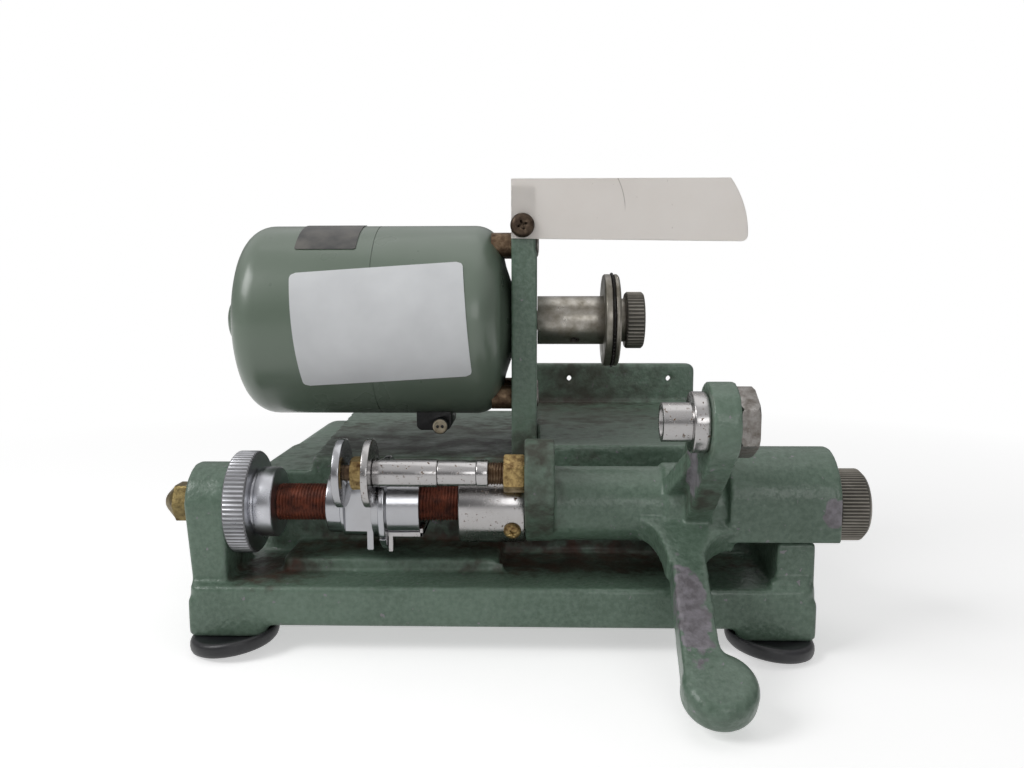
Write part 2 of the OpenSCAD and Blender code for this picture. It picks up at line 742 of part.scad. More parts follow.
module motor_windings() color(copper) at_spindle() {
    tube_x(core_left - winding_len, core_left, winding_r, winding_bore_r);
    tube_x(core_right, core_right + winding_len, winding_r, winding_bore_r);
}

module bearing(x0) color(worn_steel) at_spindle()
    tube_x(x0, x0 + bearing_w, bearing_r, shaft_r + run_fit);

module front_bearing() bearing(motor_right - shell_t - bearing_w);
module rear_bearing() bearing(motor_left + shell_t);

module rear_bearing_cap() color(motor_green) at_spindle() translate([motor_left - cap_len, 0, 0])
    rotate([0, 90, 0]) difference() {
        rotate_extrude($fn = round_fn) {
            translate([0, cap_corner]) square([cap_r, cap_len - cap_corner]);
            square([cap_r - cap_corner, cap_len]);
            translate([cap_r - cap_corner, cap_corner]) intersection() {
                circle(r = cap_corner, $fn = 48);
                translate([0, -cap_corner]) square([cap_corner, 2 * cap_corner]);
            }
        }
        translate([0, 0, cap_wall]) cylinder(h = cap_len, r = cap_r - cap_wall, $fn = round_fn);
    }

module cord_grommet() color(black_rubber) translate([grommet_x, 0, spindle_z - motor_r]) difference() {
    along_y(spindle_y - grommet_depth / 2, spindle_y + grommet_depth / 2)
        round_rect([-grommet_w / 2, -grommet_front], [grommet_w / 2, grommet_back], grommet_r);
    translate([0, spindle_y, motor_r]) rod_x(-grommet_w, grommet_w, motor_r + 0.01);
    translate([cord_x - grommet_x, spindle_y, -cord_drop]) rotate([90, 0, 0])
        cylinder(h = grommet_depth, r = cord_core_r + seat_fit, $fn = 48);
}

// Cut-off cord: its inner end sits in the grommet
module cord_stub() color(black_rubber) translate([cord_x, 0, spindle_z - motor_r - cord_drop])
    rotate([90, 0, 0]) {
        translate([0, 0, -spindle_y]) cylinder(h = cord_len, r = cord_core_r, $fn = 48);
        translate([0, 0, grommet_depth / 2 - spindle_y]) cylinder(h = cord_len - grommet_depth / 2, r = cord_r, $fn = 48);
    }

// ---- shield ----

module shield() color(shield_cream) difference() {
    along_y(shield_front, shield_front + shield_t) {
        translate([bracket_left, shield_top - shield_h]) square([shield_len - shield_end_r, shield_h]);
        intersection() {
            translate([bracket_left + shield_len - shield_end_r, shield_top - shield_h])
                circle(r = shield_end_r, $fn = round_fn);
            translate([bracket_left, shield_top - shield_h]) square([shield_len, shield_h]);
        }
    }
    translate([shield_screw_x, shield_front - eps, shield_screw_z]) rotate([-90, 0, 0])
        cylinder(h = shield_t + 2 * eps, r = shield_screw_r + run_fit, $fn = 32);
}

module shield_screw() color(rust) translate([shield_screw_x, 0, shield_screw_z]) rotate([90, 0, 0]) {
    translate([0, 0, -bracket_front - shield_grip])
        cylinder(h = bracket_front - shield_front + shield_grip + face_gap, r = shield_screw_r, $fn = 32);
    translate([0, 0, face_gap - shield_front]) rotate_extrude($fn = 48)
        polygon(pan_profile);
}

// ---- spindle ----

module motor_rotor() color(worn_steel) at_spindle()
    tube_x(core_left - eps, core_right + eps, rotor_r, shaft_r + seat_fit);

module spindle_shaft() color(worn_steel) at_spindle() {
    rod_x(motor_left + eps, hub_right - socket_len, shaft_r);
    rod_x(hub_right - socket_len, clamp_nut_right - eps, arbor_r);
}

module spindle_hub() color(worn_steel) at_spindle() difference() {
    rod_x(bracket_right + face_gap, hub_right, hub_r);
    rod_x(bracket_right, hub_right - socket_len + seat_fit, shaft_r + seat_fit);
    rod_x(hub_right - socket_len - eps, hub_right + eps, arbor_r + seat_fit);
    at_set_screw() cylinder(h = hub_r + eps, r = set_screw_r + seat_fit, $fn = 32);
}

module at_set_screw() translate([set_screw_x, 0, 0]) rotate([90 + set_screw_angle, 0, 0]) children();

module hub_set_screw() color(worn_steel) at_spindle() at_set_screw() translate([0, 0, shaft_r])
    cylinder(h = hub_r - shaft_r - set_screw_r, r = set_screw_r, $fn = 32);

module inner_flange() color(worn_steel) at_spindle() difference() {
    chamfer_rod_x(hub_right, inner_flange_right, clamp_r, 0.6);
    rod_x(hub_right - eps, inner_flange_right + eps, arbor_r + seat_fit);
}

module cutter_disc() color(rust) at_spindle()
    tube_x(inner_flange_right, cutter_right, cutter_r, arbor_r + seat_fit);

module outer_flange() color(worn_steel) at_spindle() difference() {
    union() {
        chamfer_rod_x(cutter_right, outer_flange_right, clamp_r, 0.9);
        rod_x(outer_flange_right - eps, clamp_nut_left, clamp_nut_r - clamp_neck);
    }
    rod_x(cutter_right - eps, clamp_nut_left + eps, arbor_r + seat_fit);
}

module clamp_nut() color(worn_steel) at_spindle() difference() {
    knurled_x(clamp_nut_left, clamp_nut_right, clamp_nut_r, 44, 1);
    rod_x(clamp_nut_left - eps, clamp_nut_right + eps, arbor_r + seat_fit);
}

// ---- feed screw ----

module feed_screw() color(rust) at_screw() {
    rod_x(acorn_left + acorn_roof, wheel_right, journal_r);
    rod_x(wheel_right, right_post_left - face_gap, screw_r);
    rod_x(right_post_left - face_gap, base_right, journal_r);
}

module feed_wheel() color(chrome) at_screw() difference() {
    union() {
        knurled_x(wheel_left, wheel_hub_left, wheel_r, wheel_teeth, 0.9);
        rod_x(wheel_hub_left - eps, wheel_hub_left + wheel_recess, wheel_hub_r - wheel_recess);
        chamfer_rod_x(wheel_hub_left + wheel_recess, wheel_right, wheel_hub_r, 0.5);
    }
    rod_x(wheel_left - eps, wheel_right + eps, journal_r + seat_fit);
}

module acorn_profile() intersection() {
    union() {
        square([acorn_dome_r, acorn_dome_z]);
        translate([0, acorn_dome_z]) circle(r = acorn_dome_r, $fn = 64);
    }
    square([acorn_af, acorn_len]);
}

module acorn_nut() color(brass) at_screw() difference() {
    union() {
        hex_x(acorn_right - acorn_hex_len, acorn_right, acorn_af);
        translate([acorn_right - acorn_hex_len + face_gap, 0, 0]) rotate([0, -90, 0]) rotate_extrude($fn = round_fn)
            acorn_profile();
    }
    rod_x(acorn_left + acorn_roof - face_gap, acorn_right + eps, journal_r + seat_fit);
}

// ---- traverse group ----

module left_collar() color(chrome) at_screw() difference() {
    chamfer_rod_x(collar_left, stop_hub_left, collar_r, 0.4);
    rod_x(collar_left - eps, stop_hub_left + eps, screw_r + thread_fit);
}

module milled_flat(x0, x1) translate([x0, -flat_front - stop_r, -stop_r]) cube([x1 - x0, stop_r, 2 * stop_r]);

module stop_flange() color(chrome) at_screw() difference() {
    union() {
        rod_x(stop_hub_left, stop_left + eps, stop_hub_r);
        chamfer_rod_x(stop_left, stop_right, stop_r, 0.4);
    }
    rod_x(stop_hub_left - eps, stop_right + eps, screw_r + thread_fit);
    milled_flat(stop_hub_left + flat_inset, stop_right + eps);
}

module traverse_nut() color(chrome) at_screw() difference() {
    union() {
        // the groove's floor joins the flange to the stop flange
        rod_x(groove_left, nut_left + eps, groove_floor_r);
        chamfer_rod_x(nut_left, nut_body_left, nut_flange_r, 0.4);
        rod_x(nut_body_left - eps, nut_right, nut_r);
    }
    rod_x(groove_left - eps, nut_right + eps, screw_r + thread_fit);
    // a narrow index notch in the flange's rim
    rotate([notch_angle, 0, 0]) translate([nut_left - eps, -nut_flange_r - eps, -notch_w / 2])
        cube([flange_t + 2 * eps, notch_depth + eps, notch_w]);
}

// Anti-rotation plate under the nut; its tongue runs in the rear box
module key_plate() color(chrome) difference() {
    union() {
        translate([nut_body_left, screw_y - key_half, key_z])
            cube([nut_len + key_lip, box_front - screw_y + key_half + key_depth - face_gap, key_t]);
        translate([nut_right, screw_y - key_half, key_z])
            cube([key_lip, 2 * key_half, nut_r - screw_r - 2 * face_gap]);
    }
    at_screw() rod_x(nut_body_left - eps, nut_right + 0.01, nut_r + seat_fit);
}

// ---- carriage ----

module lug_solid() along_x(lug_left, lug_right) translate([screw_y, screw_z]) rotate([0, 0, 180 - rod_angle])
    link(lug_root_r, lug_rod_r, rod_reach);

module arm_solid() along_x(boss_left, boss_right) translate([screw_y, screw_z]) rotate([0, 0, 180 - holder_angle])
    link(barrel_r - 2, boss_r, holder_reach);

// Handle outline in its own plane: X across, Y outwards from the screw axis
module handle_outline() offset(r = -handle_fillet) offset(r = handle_fillet) {
    translate([root_left - 4, 0]) square([saddle_left - root_left + 6, barrel_r + 1]);
    polygon([
        [handle_stem_x + handle_w + handle_lean, barrel_r - 2], [handle_stem_x + handle_lean, barrel_r - 2],
        [handle_stem_x, handle_reach - 4], [handle_stem_x + handle_w, handle_reach - 4]]);
    translate([handle_disc_x, handle_reach]) circle(r = handle_disc_r - handle_rim / 2, $fn = 64);
}

module handle_solid() translate([0, screw_y, screw_z]) rotate([handle_angle, 0, 0]) {
    translate([0, 0, -handle_t / 2]) linear_extrude(height = handle_t) mirror([0, 1]) handle_outline();
    // the disc is a little thicker than the stem and its rim is rounded
    translate([handle_disc_x, -handle_reach, -handle_t / 2 - disc_swell]) rotate_extrude($fn = round_fn) {
        square([handle_disc_r - handle_rim, handle_t + 2 * disc_swell]);
        translate([0, handle_rim]) square([handle_disc_r, handle_t + 2 * disc_swell - 2 * handle_rim]);
        for (z = [handle_rim, handle_t + 2 * disc_swell - handle_rim]) translate([handle_disc_r - handle_rim, z])
            circle(r = handle_rim, $fn = 48);
    }
}

module saddle_outline(r, drop) {
    translate([0, saddle_rise]) circle(r = r, $fn = round_fn);
    translate([-r, -drop]) square([r, drop + saddle_rise]);
}

module saddle_solid() {
    along_x(saddle_left, saddle_right) translate([screw_y, screw_z]) difference() {
        saddle_outline(saddle_r, skirt_drop);
        translate([-saddle_r - eps, -saddle_r - eps]) square([2 * saddle_r + 2 * eps, saddle_r - skirt_drop + eps]);
    }
}

module saddle_hollow() {
    along_x(hollow_left, hollow_right) translate([screw_y, screw_z]) {
        saddle_outline(saddle_r - saddle_wall, saddle_r + eps);
        // the back of the hollow is open below its edge
        polygon([[0, saddle_rise], 2 * saddle_r * [sin(back_edge), cos(back_edge)] + [0, saddle_rise],
            2 * saddle_r * [1, -1], 2 * saddle_r * [-0.2, -1]]);
    }
}

module carriage_casting() color(casting_green) difference() {
    union() {
        lug_solid();
        at_screw() {
            rod_x(lug_right - eps, root_left + eps, barrel_r);
            rod_x(root_left, saddle_left + eps, barrel_r + 1.8);
        }
        arm_solid();
        handle_solid();
        saddle_solid();
    }
    saddle_hollow();
    at_screw() {
        rod_x(lug_left - eps, hollow_left + eps, screw_r + run_fit);
        rod_x(lug_left - eps, lug_left + spigot_len, spigot_r + seat_fit);
        rod_x(hollow_right - eps, saddle_right + eps, knob_stem_r + run_fit);
    }
    at_rod() rod_x(lug_left - eps, lug_right + eps, rod_thread_r + seat_fit);
    at_holder() rod_x(boss_left - eps, boss_right + eps, holder_stem_r + seat_fit);
}

module guide_sleeve() color(chrome) difference() {
    at_screw() {
        difference() {
            union() {
                chamfer_rod_x(sleeve_left, lug_left, sleeve_r, 0.5);
                rod_x(lug_left - eps, lug_left + spigot_len - 0.1, spigot_r);
            }
            rod_x(sleeve_left - eps, lug_right, screw_r + run_fit);
        }
    }
    at_sleeve_screw() cylinder(h = sleeve_screw_reach, r = sleeve_screw_r + seat_fit, $fn = 32);
}

// Places a screw radially on the guide sleeve, pointing outwards
module at_sleeve_screw() translate([sleeve_screw_x, screw_y, screw_z])
    rotate([90 + sleeve_screw_angle, 0, 0]) translate([0, 0, screw_r + 1]) children();

module sleeve_screw() color(brass) at_sleeve_screw() {
    cylinder(h = sleeve_r - screw_r - 1, r = 2, $fn = 32);
    translate([0, 0, sleeve_r - screw_r - 1]) cylinder(h = 2.6, r = 4, $fn = 48);
}

module tracer_rod() color(rust) at_rod() {
    rod_x(outer_disc_left - 0.8, ring_right, rod_core_r);
    rod_x(ring_right, lug_right, rod_thread_r);
}

module rod_part(x0, x1, r) color(chrome) at_rod() difference() {
    chamfer_rod_x(x0, x1, r, 0.3);
    rod_x(x0 - eps, x1 + eps, rod_core_r + seat_fit);
}

module guide_disc_outer() rod_part(outer_disc_left, outer_disc_left + outer_disc_t, disc_r);
module guide_disc_inner() rod_part(disc_inner_left, disc_inner_right, disc_r);
module long_spacer() rod_part(disc_inner_right, long_spacer_right, spacer_r);
module short_spacer() rod_part(long_spacer_right, short_spacer_right, spacer_r - 0.4);
module rod_ring() rod_part(short_spacer_right, ring_right, spacer_r - 0.1);

module disc_nut() color(brass) at_rod() difference() {
    hex_x(disc_nut_left, disc_inner_left, disc_nut_af);
    rod_x(disc_nut_left - eps, disc_inner_left + eps, rod_core_r + seat_fit);
}

module rod_lock_nut() color(brass) at_rod() difference() {
    hex_x(lug_left - lock_nut_len, lug_left, lock_nut_af);
    rod_x(lug_left - lock_nut_len - eps, lug_left + eps, rod_thread_r + seat_fit);
}

module key_holder_sleeve() color(chrome) at_holder() difference() {
    union() {
        rod_x(holder_left, boss_left, nose_r);
        chamfer_rod_x(boss_left - holder_flange_len, boss_left, holder_flange_r, 0.5);
        rod_x(boss_left - eps, holder_end, holder_stem_r);
    }
    rod_x(holder_left - eps, holder_end + eps, holder_bore_r);
}

module holder_nut() color(worn_steel) at_holder() difference() {
    hex_x(boss_right, holder_nut_right, holder_nut_af);
    rod_x(boss_right - eps, holder_nut_right + eps, holder_stem_r + seat_fit);
}

module end_knob() color(worn_steel) at_screw() {
    rod_x(hollow_right + 0.2, saddle_right + face_gap + eps, knob_stem_r);
    knurled_x(saddle_right + face_gap, saddle_right + face_gap + knob_len, knob_r, 64, 2.2);
}

// ---- the whole machine ----

base_casting();
foot_front_left();
foot_front_right();
foot_rear_left();
foot_rear_right();
foot_screws();
motor_bracket();
bracket_bolts();
motor_spacers();
motor_bolts();
motor_front_shell();
motor_rear_shell();
motor_stator();
motor_windings();
front_bearing();
rear_bearing();
rear_bearing_cap();
cord_grommet();
cord_stub();
shield_screw();
shield();
motor_rotor();
spindle_shaft();
spindle_hub();
hub_set_screw();
inner_flange();
cutter_disc();
outer_flange();
clamp_nut();
feed_screw();
feed_wheel();
acorn_nut();
left_collar();
stop_flange();
traverse_nut();
key_plate();
carriage_casting();
guide_sleeve();
sleeve_screw();
tracer_rod();
guide_disc_outer();
guide_disc_inner();
disc_nut();
long_spacer();
short_spacer();
rod_ring();
rod_lock_nut();
key_holder_sleeve();
holder_nut();
end_knob();
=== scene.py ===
import json
import math

import bmesh
import bpy
from mathutils import Matrix, Vector


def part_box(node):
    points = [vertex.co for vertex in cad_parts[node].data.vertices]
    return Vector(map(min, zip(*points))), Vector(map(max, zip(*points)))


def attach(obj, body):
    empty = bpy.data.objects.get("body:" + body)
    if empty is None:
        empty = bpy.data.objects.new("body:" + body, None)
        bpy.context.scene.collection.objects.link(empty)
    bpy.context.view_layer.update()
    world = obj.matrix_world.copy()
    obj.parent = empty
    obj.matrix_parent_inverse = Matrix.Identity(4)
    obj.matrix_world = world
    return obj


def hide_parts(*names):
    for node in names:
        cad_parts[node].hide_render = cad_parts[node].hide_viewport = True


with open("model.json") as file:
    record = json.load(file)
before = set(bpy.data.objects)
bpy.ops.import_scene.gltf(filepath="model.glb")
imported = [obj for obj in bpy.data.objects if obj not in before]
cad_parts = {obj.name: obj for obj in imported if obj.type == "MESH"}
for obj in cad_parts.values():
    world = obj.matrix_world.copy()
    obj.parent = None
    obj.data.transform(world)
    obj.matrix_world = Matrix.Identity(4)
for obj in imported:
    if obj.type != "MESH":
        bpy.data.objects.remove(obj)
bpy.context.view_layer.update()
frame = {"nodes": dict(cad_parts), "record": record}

MM = 0.001
BODIES = frame["record"]["behaviour"]["bodies"]
BODY_OF = {node: body for body, nodes in BODIES.items() for node in nodes}
SLOT_OF = {part["node"]: part["material_slot"] for part in frame["record"]["subparts"]}


# ---------------------------------------------------------------- places taken from the frame

def box_radius(node):
    """The radius of a round node that lies along X."""
    lo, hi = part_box(node)
    return (hi.z - lo.z) / 2


def centre(node):
    """The middle of a CAD node's box."""
    lo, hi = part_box(node)
    return (lo + hi) / 2


def x_span(node):
    """Where a CAD node starts and ends along X."""
    lo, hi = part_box(node)
    return lo.x, hi.x


SCREW_AXIS = centre("left_collar")
ROD_AXIS = centre("long_spacer")
SPINDLE_AXIS = centre("cutter_disc")
HOLDER_AXIS = centre("key_holder_sleeve")
MOTOR_R = box_radius("motor_front_shell")
BASE_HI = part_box("base_casting")[1]
SHIELD_LO, SHIELD_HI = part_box("shield")


# ---------------------------------------------------------------- shader helpers

def linear(r, g, b):
    """An sRGB colour written in 0..255 as the linear colour a shader wants."""
    def channel(v):
        v /= 255
        return v / 12.92 if v <= 0.04045 else ((v + 0.055) / 1.055) ** 2.4
    return channel(r), channel(g), channel(b), 1.0


class Shader:
    """A principled material with short calls for the nodes that feed it."""

    def __init__(self, name, **values):
        self.material = bpy.data.materials.new(name)
        self.material.use_nodes = True
        self.tree = self.material.node_tree
        self.tree.nodes.clear()
        output = self.tree.nodes.new("ShaderNodeOutputMaterial")
        self.bsdf = self.tree.nodes.new("ShaderNodeBsdfPrincipled")
        self.tree.links.new(self.bsdf.outputs[0], output.inputs[0])
        self.coord = self.node("ShaderNodeTexCoord").outputs["Object"]
        for socket, value in values.items():
            self.bsdf.inputs[socket.replace("_", " ")].default_value = value

    def node(self, kind, inputs=(), **settings):
        node = self.tree.nodes.new(kind)
        for key, value in settings.items():
            setattr(node, key, value)
        for socket, value in dict(inputs).items():
            self.feed(node.inputs[socket], value)
        return node

    def feed(self, socket, value):
        if isinstance(value, bpy.types.NodeSocket):
            self.tree.links.new(value, socket)
        else:
            socket.default_value = value

    def set(self, socket, value):
        self.feed(self.bsdf.inputs[socket], value)

    def noise(self, scale, detail=2.0, rough=0.5, stretch=None, distort=0.0):
        coord = self.coord
        if stretch:
            coord = self.node("ShaderNodeMapping", {"Vector": coord, "Scale": stretch}).outputs[0]
        values = {"Vector": coord, "Scale": scale, "Detail": detail, "Roughness": rough, "Distortion": distort}
        return self.node("ShaderNodeTexNoise", values).outputs[0]

    def span(self, value, low, high, out_low=0.0, out_high=1.0):
        values = {"Value": value, "From Min": low, "From Max": high, "To Min": out_low, "To Max": out_high}
        return self.node("ShaderNodeMapRange", values).outputs[0]

    def math(self, operation, a, b=0.0):
        return self.node("ShaderNodeMath", {0: a, 1: b}, operation=operation).outputs[0]

    def vector(self, operation, a, b):
        return self.node("ShaderNodeVectorMath", {0: a, 1: b}, operation=operation).outputs[0]

    def length(self, vector):
        return self.node("ShaderNodeVectorMath", {0: vector}, operation="LENGTH").outputs["Value"]

    def mix(self, factor, a, b):
        node = self.node("ShaderNodeMix", data_type="RGBA")
        self.feed(node.inputs[0], factor)
        self.feed(node.inputs[6], a)
        self.feed(node.inputs[7], b)
        return node.outputs[2]

    def bump(self, height, strength, distance):
        normal = self.node("ShaderNodeBump", {"Height": height, "Strength": strength, "Distance": distance})
        self.set("Normal", normal.outputs[0])

    def blob(self, place, radii, edge=0.5, soft=0.08):
        """A mask that is 1 inside an ellipsoid and fades over its ragged edge."""
        offset = self.vector("SUBTRACT", self.coord, tuple(place))
        length = self.length(self.vector("DIVIDE", offset, tuple(radii)))
        ragged = self.math("ADD", length, self.span(self.noise(160, 3), 0.3, 0.7, -edge, edge))
        return self.span(ragged, 1.0 + soft, 1.0 - soft)

    def pointiness(self, low, high):
        return self.span(self.node("ShaderNodeNewGeometry").outputs["Pointiness"], low, high)


# ---------------------------------------------------------------- materials

GREEN = linear(98, 119, 103)
GREEN_DARK = linear(76, 96, 81)
GREEN_PALE = linear(122, 142, 128)
BARE_IRON_AND_GLINT = linear(128, 126, 130)
RUST_BROWN = linear(78, 50, 38)
# a dark brown used both for grime and for painted shade
GRIME_AND_SHADE = linear(50, 44, 36)


def casting_paint(name, bare=(), rusty=(), grime_and_shade_spots=()):
    """Hammertone enamel: dimples, mottling, pale specks and edge chips that are painted highlights and partly
    bare metal, worn spots (bare), rust stains, and grime and painted shade at given places.
    """
    s = Shader(name, Specular_IOR_Level=0.4, Coat_Weight=0.12, Coat_Roughness=0.2)
    grime_and_shade_mask = 0.0
    broad = s.span(s.noise(14, 3, 0.55), 0.3, 0.7)
    fine = s.span(s.noise(420, 3, 0.6), 0.35, 0.68)
    colour = s.mix(broad, GREEN, GREEN_DARK)
    colour = s.mix(s.math("MULTIPLY", fine, 0.45), colour, GREEN_PALE)
    # Painted highlights: pale specks, and pale chips on sharp edges, stand in for glints on the dimpled
    # enamel; the edge chips also stand for bare metal where the paint is worn.
    specks = s.span(s.noise(310, 2), 0.70, 0.74)
    colour = s.mix(specks, colour, BARE_IRON_AND_GLINT)
    chips_and_glints = s.math("MULTIPLY", s.pointiness(0.53, 0.60), s.span(s.noise(190, 4), 0.52, 0.60))
    colour = s.mix(chips_and_glints, colour, BARE_IRON_AND_GLINT)
    # Grime and painted shade: each given spot mixes in the dark brown and makes the paint rougher.
    for place, radii in grime_and_shade_spots:
        mask = s.math("MULTIPLY", s.blob(place, radii, 0.4, 0.35), s.span(s.noise(60, 5, 0.6), 0.25, 0.6))
        mask = s.math("MULTIPLY", mask, 0.85)
        colour = s.mix(mask, colour, GRIME_AND_SHADE)
        grime_and_shade_mask = s.math("MAXIMUM", grime_and_shade_mask, mask)
    for place, radii in rusty:
        mask = s.math("MULTIPLY", s.blob(place, radii, 0.4, 0.35), s.span(s.noise(110, 5, 0.65), 0.38, 0.66))
        colour = s.mix(s.math("MULTIPLY", mask, 0.85), colour, RUST_BROWN)
    for place, radii in bare:
        mask = s.blob(place, radii, 0.35)
        worn = s.mix(s.span(s.noise(240, 3), 0.4, 0.65), linear(134, 130, 136), linear(104, 100, 104))
        colour = s.mix(mask, colour, worn)
    s.set("Base Color", colour)
    gloss = s.span(s.noise(35, 3), 0.3, 0.7, 0.26, 0.42)
    s.set("Roughness", s.math("ADD", gloss, s.math("MULTIPLY", grime_and_shade_mask, 0.4)))
    dimples = s.math("ADD", s.noise(210, 2, 0.5), s.math("MULTIPLY", s.noise(520, 2), 0.45))
    s.bump(dimples, 0.9, 0.6 * MM)
    return s.material


def motor_paint():
    s = Shader("motor_paint", Roughness=0.3, Coat_Weight=0.2, Coat_Roughness=0.15)
    colour = s.mix(s.span(s.noise(18, 3), 0.3, 0.7), linear(112, 125, 112), linear(103, 117, 103))
    scuffs = s.span(s.noise(70, 5, 0.7, stretch=(1, 1, 0.25)), 0.66, 0.74)
    colour = s.mix(s.math("MULTIPLY", scuffs, 0.35), colour, linear(84, 92, 82))
    s.set("Base Color", colour)
    s.set("Roughness", s.span(s.noise(50, 3), 0.3, 0.7, 0.26, 0.38))
    s.bump(s.noise(260, 1), 0.06, 0.3 * MM)
    return s.material


def plated(name, tint, rough, pits, stain=linear(92, 72, 54)):
    """Chrome plate with pinhole rust; pits 0..1 says how far it has gone."""
    s = Shader(name, Metallic=1.0)
    cloudy = s.span(s.noise(60, 4, 0.6), 0.3, 0.7)
    spots = s.span(s.noise(700, 3, 0.6), 0.74 - 0.12 * pits, 0.80 - 0.12 * pits)
    spots = s.math("MULTIPLY", spots, s.span(s.noise(90, 2), 0.35, 0.55))
    colour = s.mix(s.math("MULTIPLY", cloudy, 0.25), tint, linear(150, 146, 142))
    s.set("Base Color", s.mix(spots, colour, stain))
    gloss = s.span(cloudy, 0, 1, rough, rough + 0.12)
    s.set("Roughness", s.math("ADD", gloss, s.math("MULTIPLY", spots, 0.4)))
    s.bump(s.math("SUBTRACT", 1.0, spots), 0.25, 0.15 * MM)
    return s.material


def knurled(name, node, tint, rough):
    """Bright metal whose knurled grooves are painted dark as shade; a groove is told from its depth under the
    node's rim.
    """
    s = Shader(name, Metallic=1.0)
    rim = box_radius(node)
    spoke = s.vector("MULTIPLY", s.vector("SUBTRACT", s.coord, tuple(centre(node))), (0, 1, 1))
    depth = s.length(spoke)
    below_rim = s.span(depth, rim - 0.12 * MM, rim - 0.4 * MM)
    above_core = s.span(depth, rim - 1.2 * MM, rim - 1.0 * MM)
    groove = s.math("MULTIPLY", below_rim, above_core)
    cloudy = s.span(s.noise(90, 4, 0.6), 0.3, 0.7)
    worn = s.mix(s.math("MULTIPLY", cloudy, 0.3), tint, linear(96, 92, 86))
    # painted shade: the grooves get a darker colour, and more roughness below
    s.set("Base Color", s.mix(s.math("MULTIPLY", groove, 0.6), worn, linear(62, 60, 58)))
    gloss = s.span(cloudy, 0, 1, rough, rough + 0.15)
    s.set("Roughness", s.math("ADD", gloss, s.math("MULTIPLY", groove, 0.3)))
    s.bump(s.noise(500, 3), 0.1, 0.1 * MM)
    return s.material


def turned_steel(name, light, dark, rough, ring_scale=1600):
    """Lathe-turned steel: fine rings along X, blotches and small pits."""
    s = Shader(name, Metallic=0.9)
    rings = s.noise(ring_scale, 2, stretch=(1, 0.02, 0.02))
    blotch = s.span(s.noise(120, 5, 0.65), 0.35, 0.68)
    s.set("Base Color", s.mix(blotch, light, dark))
    s.set("Roughness", s.span(blotch, 0, 1, rough, rough + 0.22))
    s.bump(s.math("ADD", s.math("MULTIPLY", rings, 0.5), s.noise(650, 3)), 0.25, 0.12 * MM)
    return s.material


def rusted(name, light, dark, rough=0.62, metallic=0.35):
    s = Shader(name, Metallic=metallic)
    patchy = s.span(s.noise(230, 5, 0.7), 0.35, 0.65)
    s.set("Base Color", s.mix(patchy, light, dark))
    s.set("Roughness", s.span(patchy, 0, 1, rough - 0.15, rough + 0.15))
    s.bump(s.noise(900, 4, 0.7), 0.4, 0.15 * MM)
    return s.material


def rubber():
    s = Shader("rubber", Roughness=0.42)
    s.set("Base Color", s.mix(s.span(s.noise(45, 5, 0.7), 0.4, 0.75), linear(20, 20, 23), linear(42, 42, 46)))
    s.bump(s.noise(380, 3), 0.12, 0.2 * MM)
    return s.material


def shield_sheet():
    """Aged clear sheet: milky, with a curved scratch and some specks."""
    s = Shader("shield_sheet", Roughness=0.38, IOR=1.2, Transmission_Weight=0.35)
    xyz = s.node("ShaderNodeSeparateXYZ", {0: s.coord})
    x, z = xyz.outputs[0], xyz.outputs[2]
    lean = s.math("MULTIPLY", s.math("POWER", s.math("SUBTRACT", z, SHIELD_LO.z + 15 * MM), 2.0), 16.0)
    line_x = s.math("SUBTRACT", 54.8 * MM, lean)
    off = s.math("ABSOLUTE", s.math("SUBTRACT", x, line_x))
    upper = s.span(z, SHIELD_LO.z + 14 * MM, SHIELD_LO.z + 19 * MM)
    scratch = s.math("MULTIPLY", s.span(off, 0.32 * MM, 0.08 * MM), upper)
    specks = s.span(s.noise(420, 2), 0.73, 0.77)
    milky = s.mix(s.span(s.noise(25, 4), 0.3, 0.7), linear(244, 240, 236), linear(238, 233, 228))
    marks = s.math("MAXIMUM", s.math("MULTIPLY", scratch, 0.6), s.math("MULTIPLY", specks, 0.25))
    s.set("Base Color", s.mix(marks, milky, linear(126, 118, 108)))
    s.set("Roughness", s.span(s.noise(70, 4), 0.3, 0.7, 0.3, 0.5))
    s.bump(s.noise(110, 3), 0.08, 0.3 * MM)
    return s.material


def label_paper():
    s = Shader("label_paper", Roughness=0.45)
    s.set("Base Color", s.mix(s.span(s.noise(40, 4), 0.3, 0.7), linear(226, 228, 230), linear(212, 214, 216)))
    s.bump(s.noise(120, 3), 0.1, 0.2 * MM)
    return s.material


def foil_plate():
    s = Shader("foil_plate", Roughness=0.4, Metallic=0.6)
    s.set("Base Color", s.mix(s.span(s.noise(90, 4), 0.35, 0.65), linear(66, 66, 66), linear(96, 94, 90)))
    s.bump(s.noise(300, 3), 0.15, 0.1 * MM)
    return s.material


def pale_sheath():
    s = Shader("pale_sheath", Roughness=0.5)
    mottle = s.span(s.noise(300, 3), 0.35, 0.65)
    s.set("Base Color", s.mix(mottle, linear(196, 184, 160), linear(150, 138, 116)))
    s.bump(s.noise(700, 3), 0.2, 0.1 * MM)
    return s.material


# ---------------------------------------------------------------- mesh helpers

def new_object(name, mesh):
    obj = bpy.data.objects.new(name, mesh)
    bpy.context.scene.collection.objects.link(obj)
    return obj


def to_object(name, bm, smooth_angle=40):
    """A bmesh as an object, smooth across edges flatter than smooth_angle degrees."""
    bmesh.ops.recalc_face_normals(bm, faces=bm.faces)
    for face in bm.faces:
        face.smooth = True
    for edge in bm.edges:
        edge.smooth = len(edge.link_faces) == 2 and edge.calc_face_angle(0) < math.radians(smooth_angle)
    mesh = bpy.data.meshes.new(name)
    bm.to_mesh(mesh)
    bm.free()
    return new_object(name, mesh)


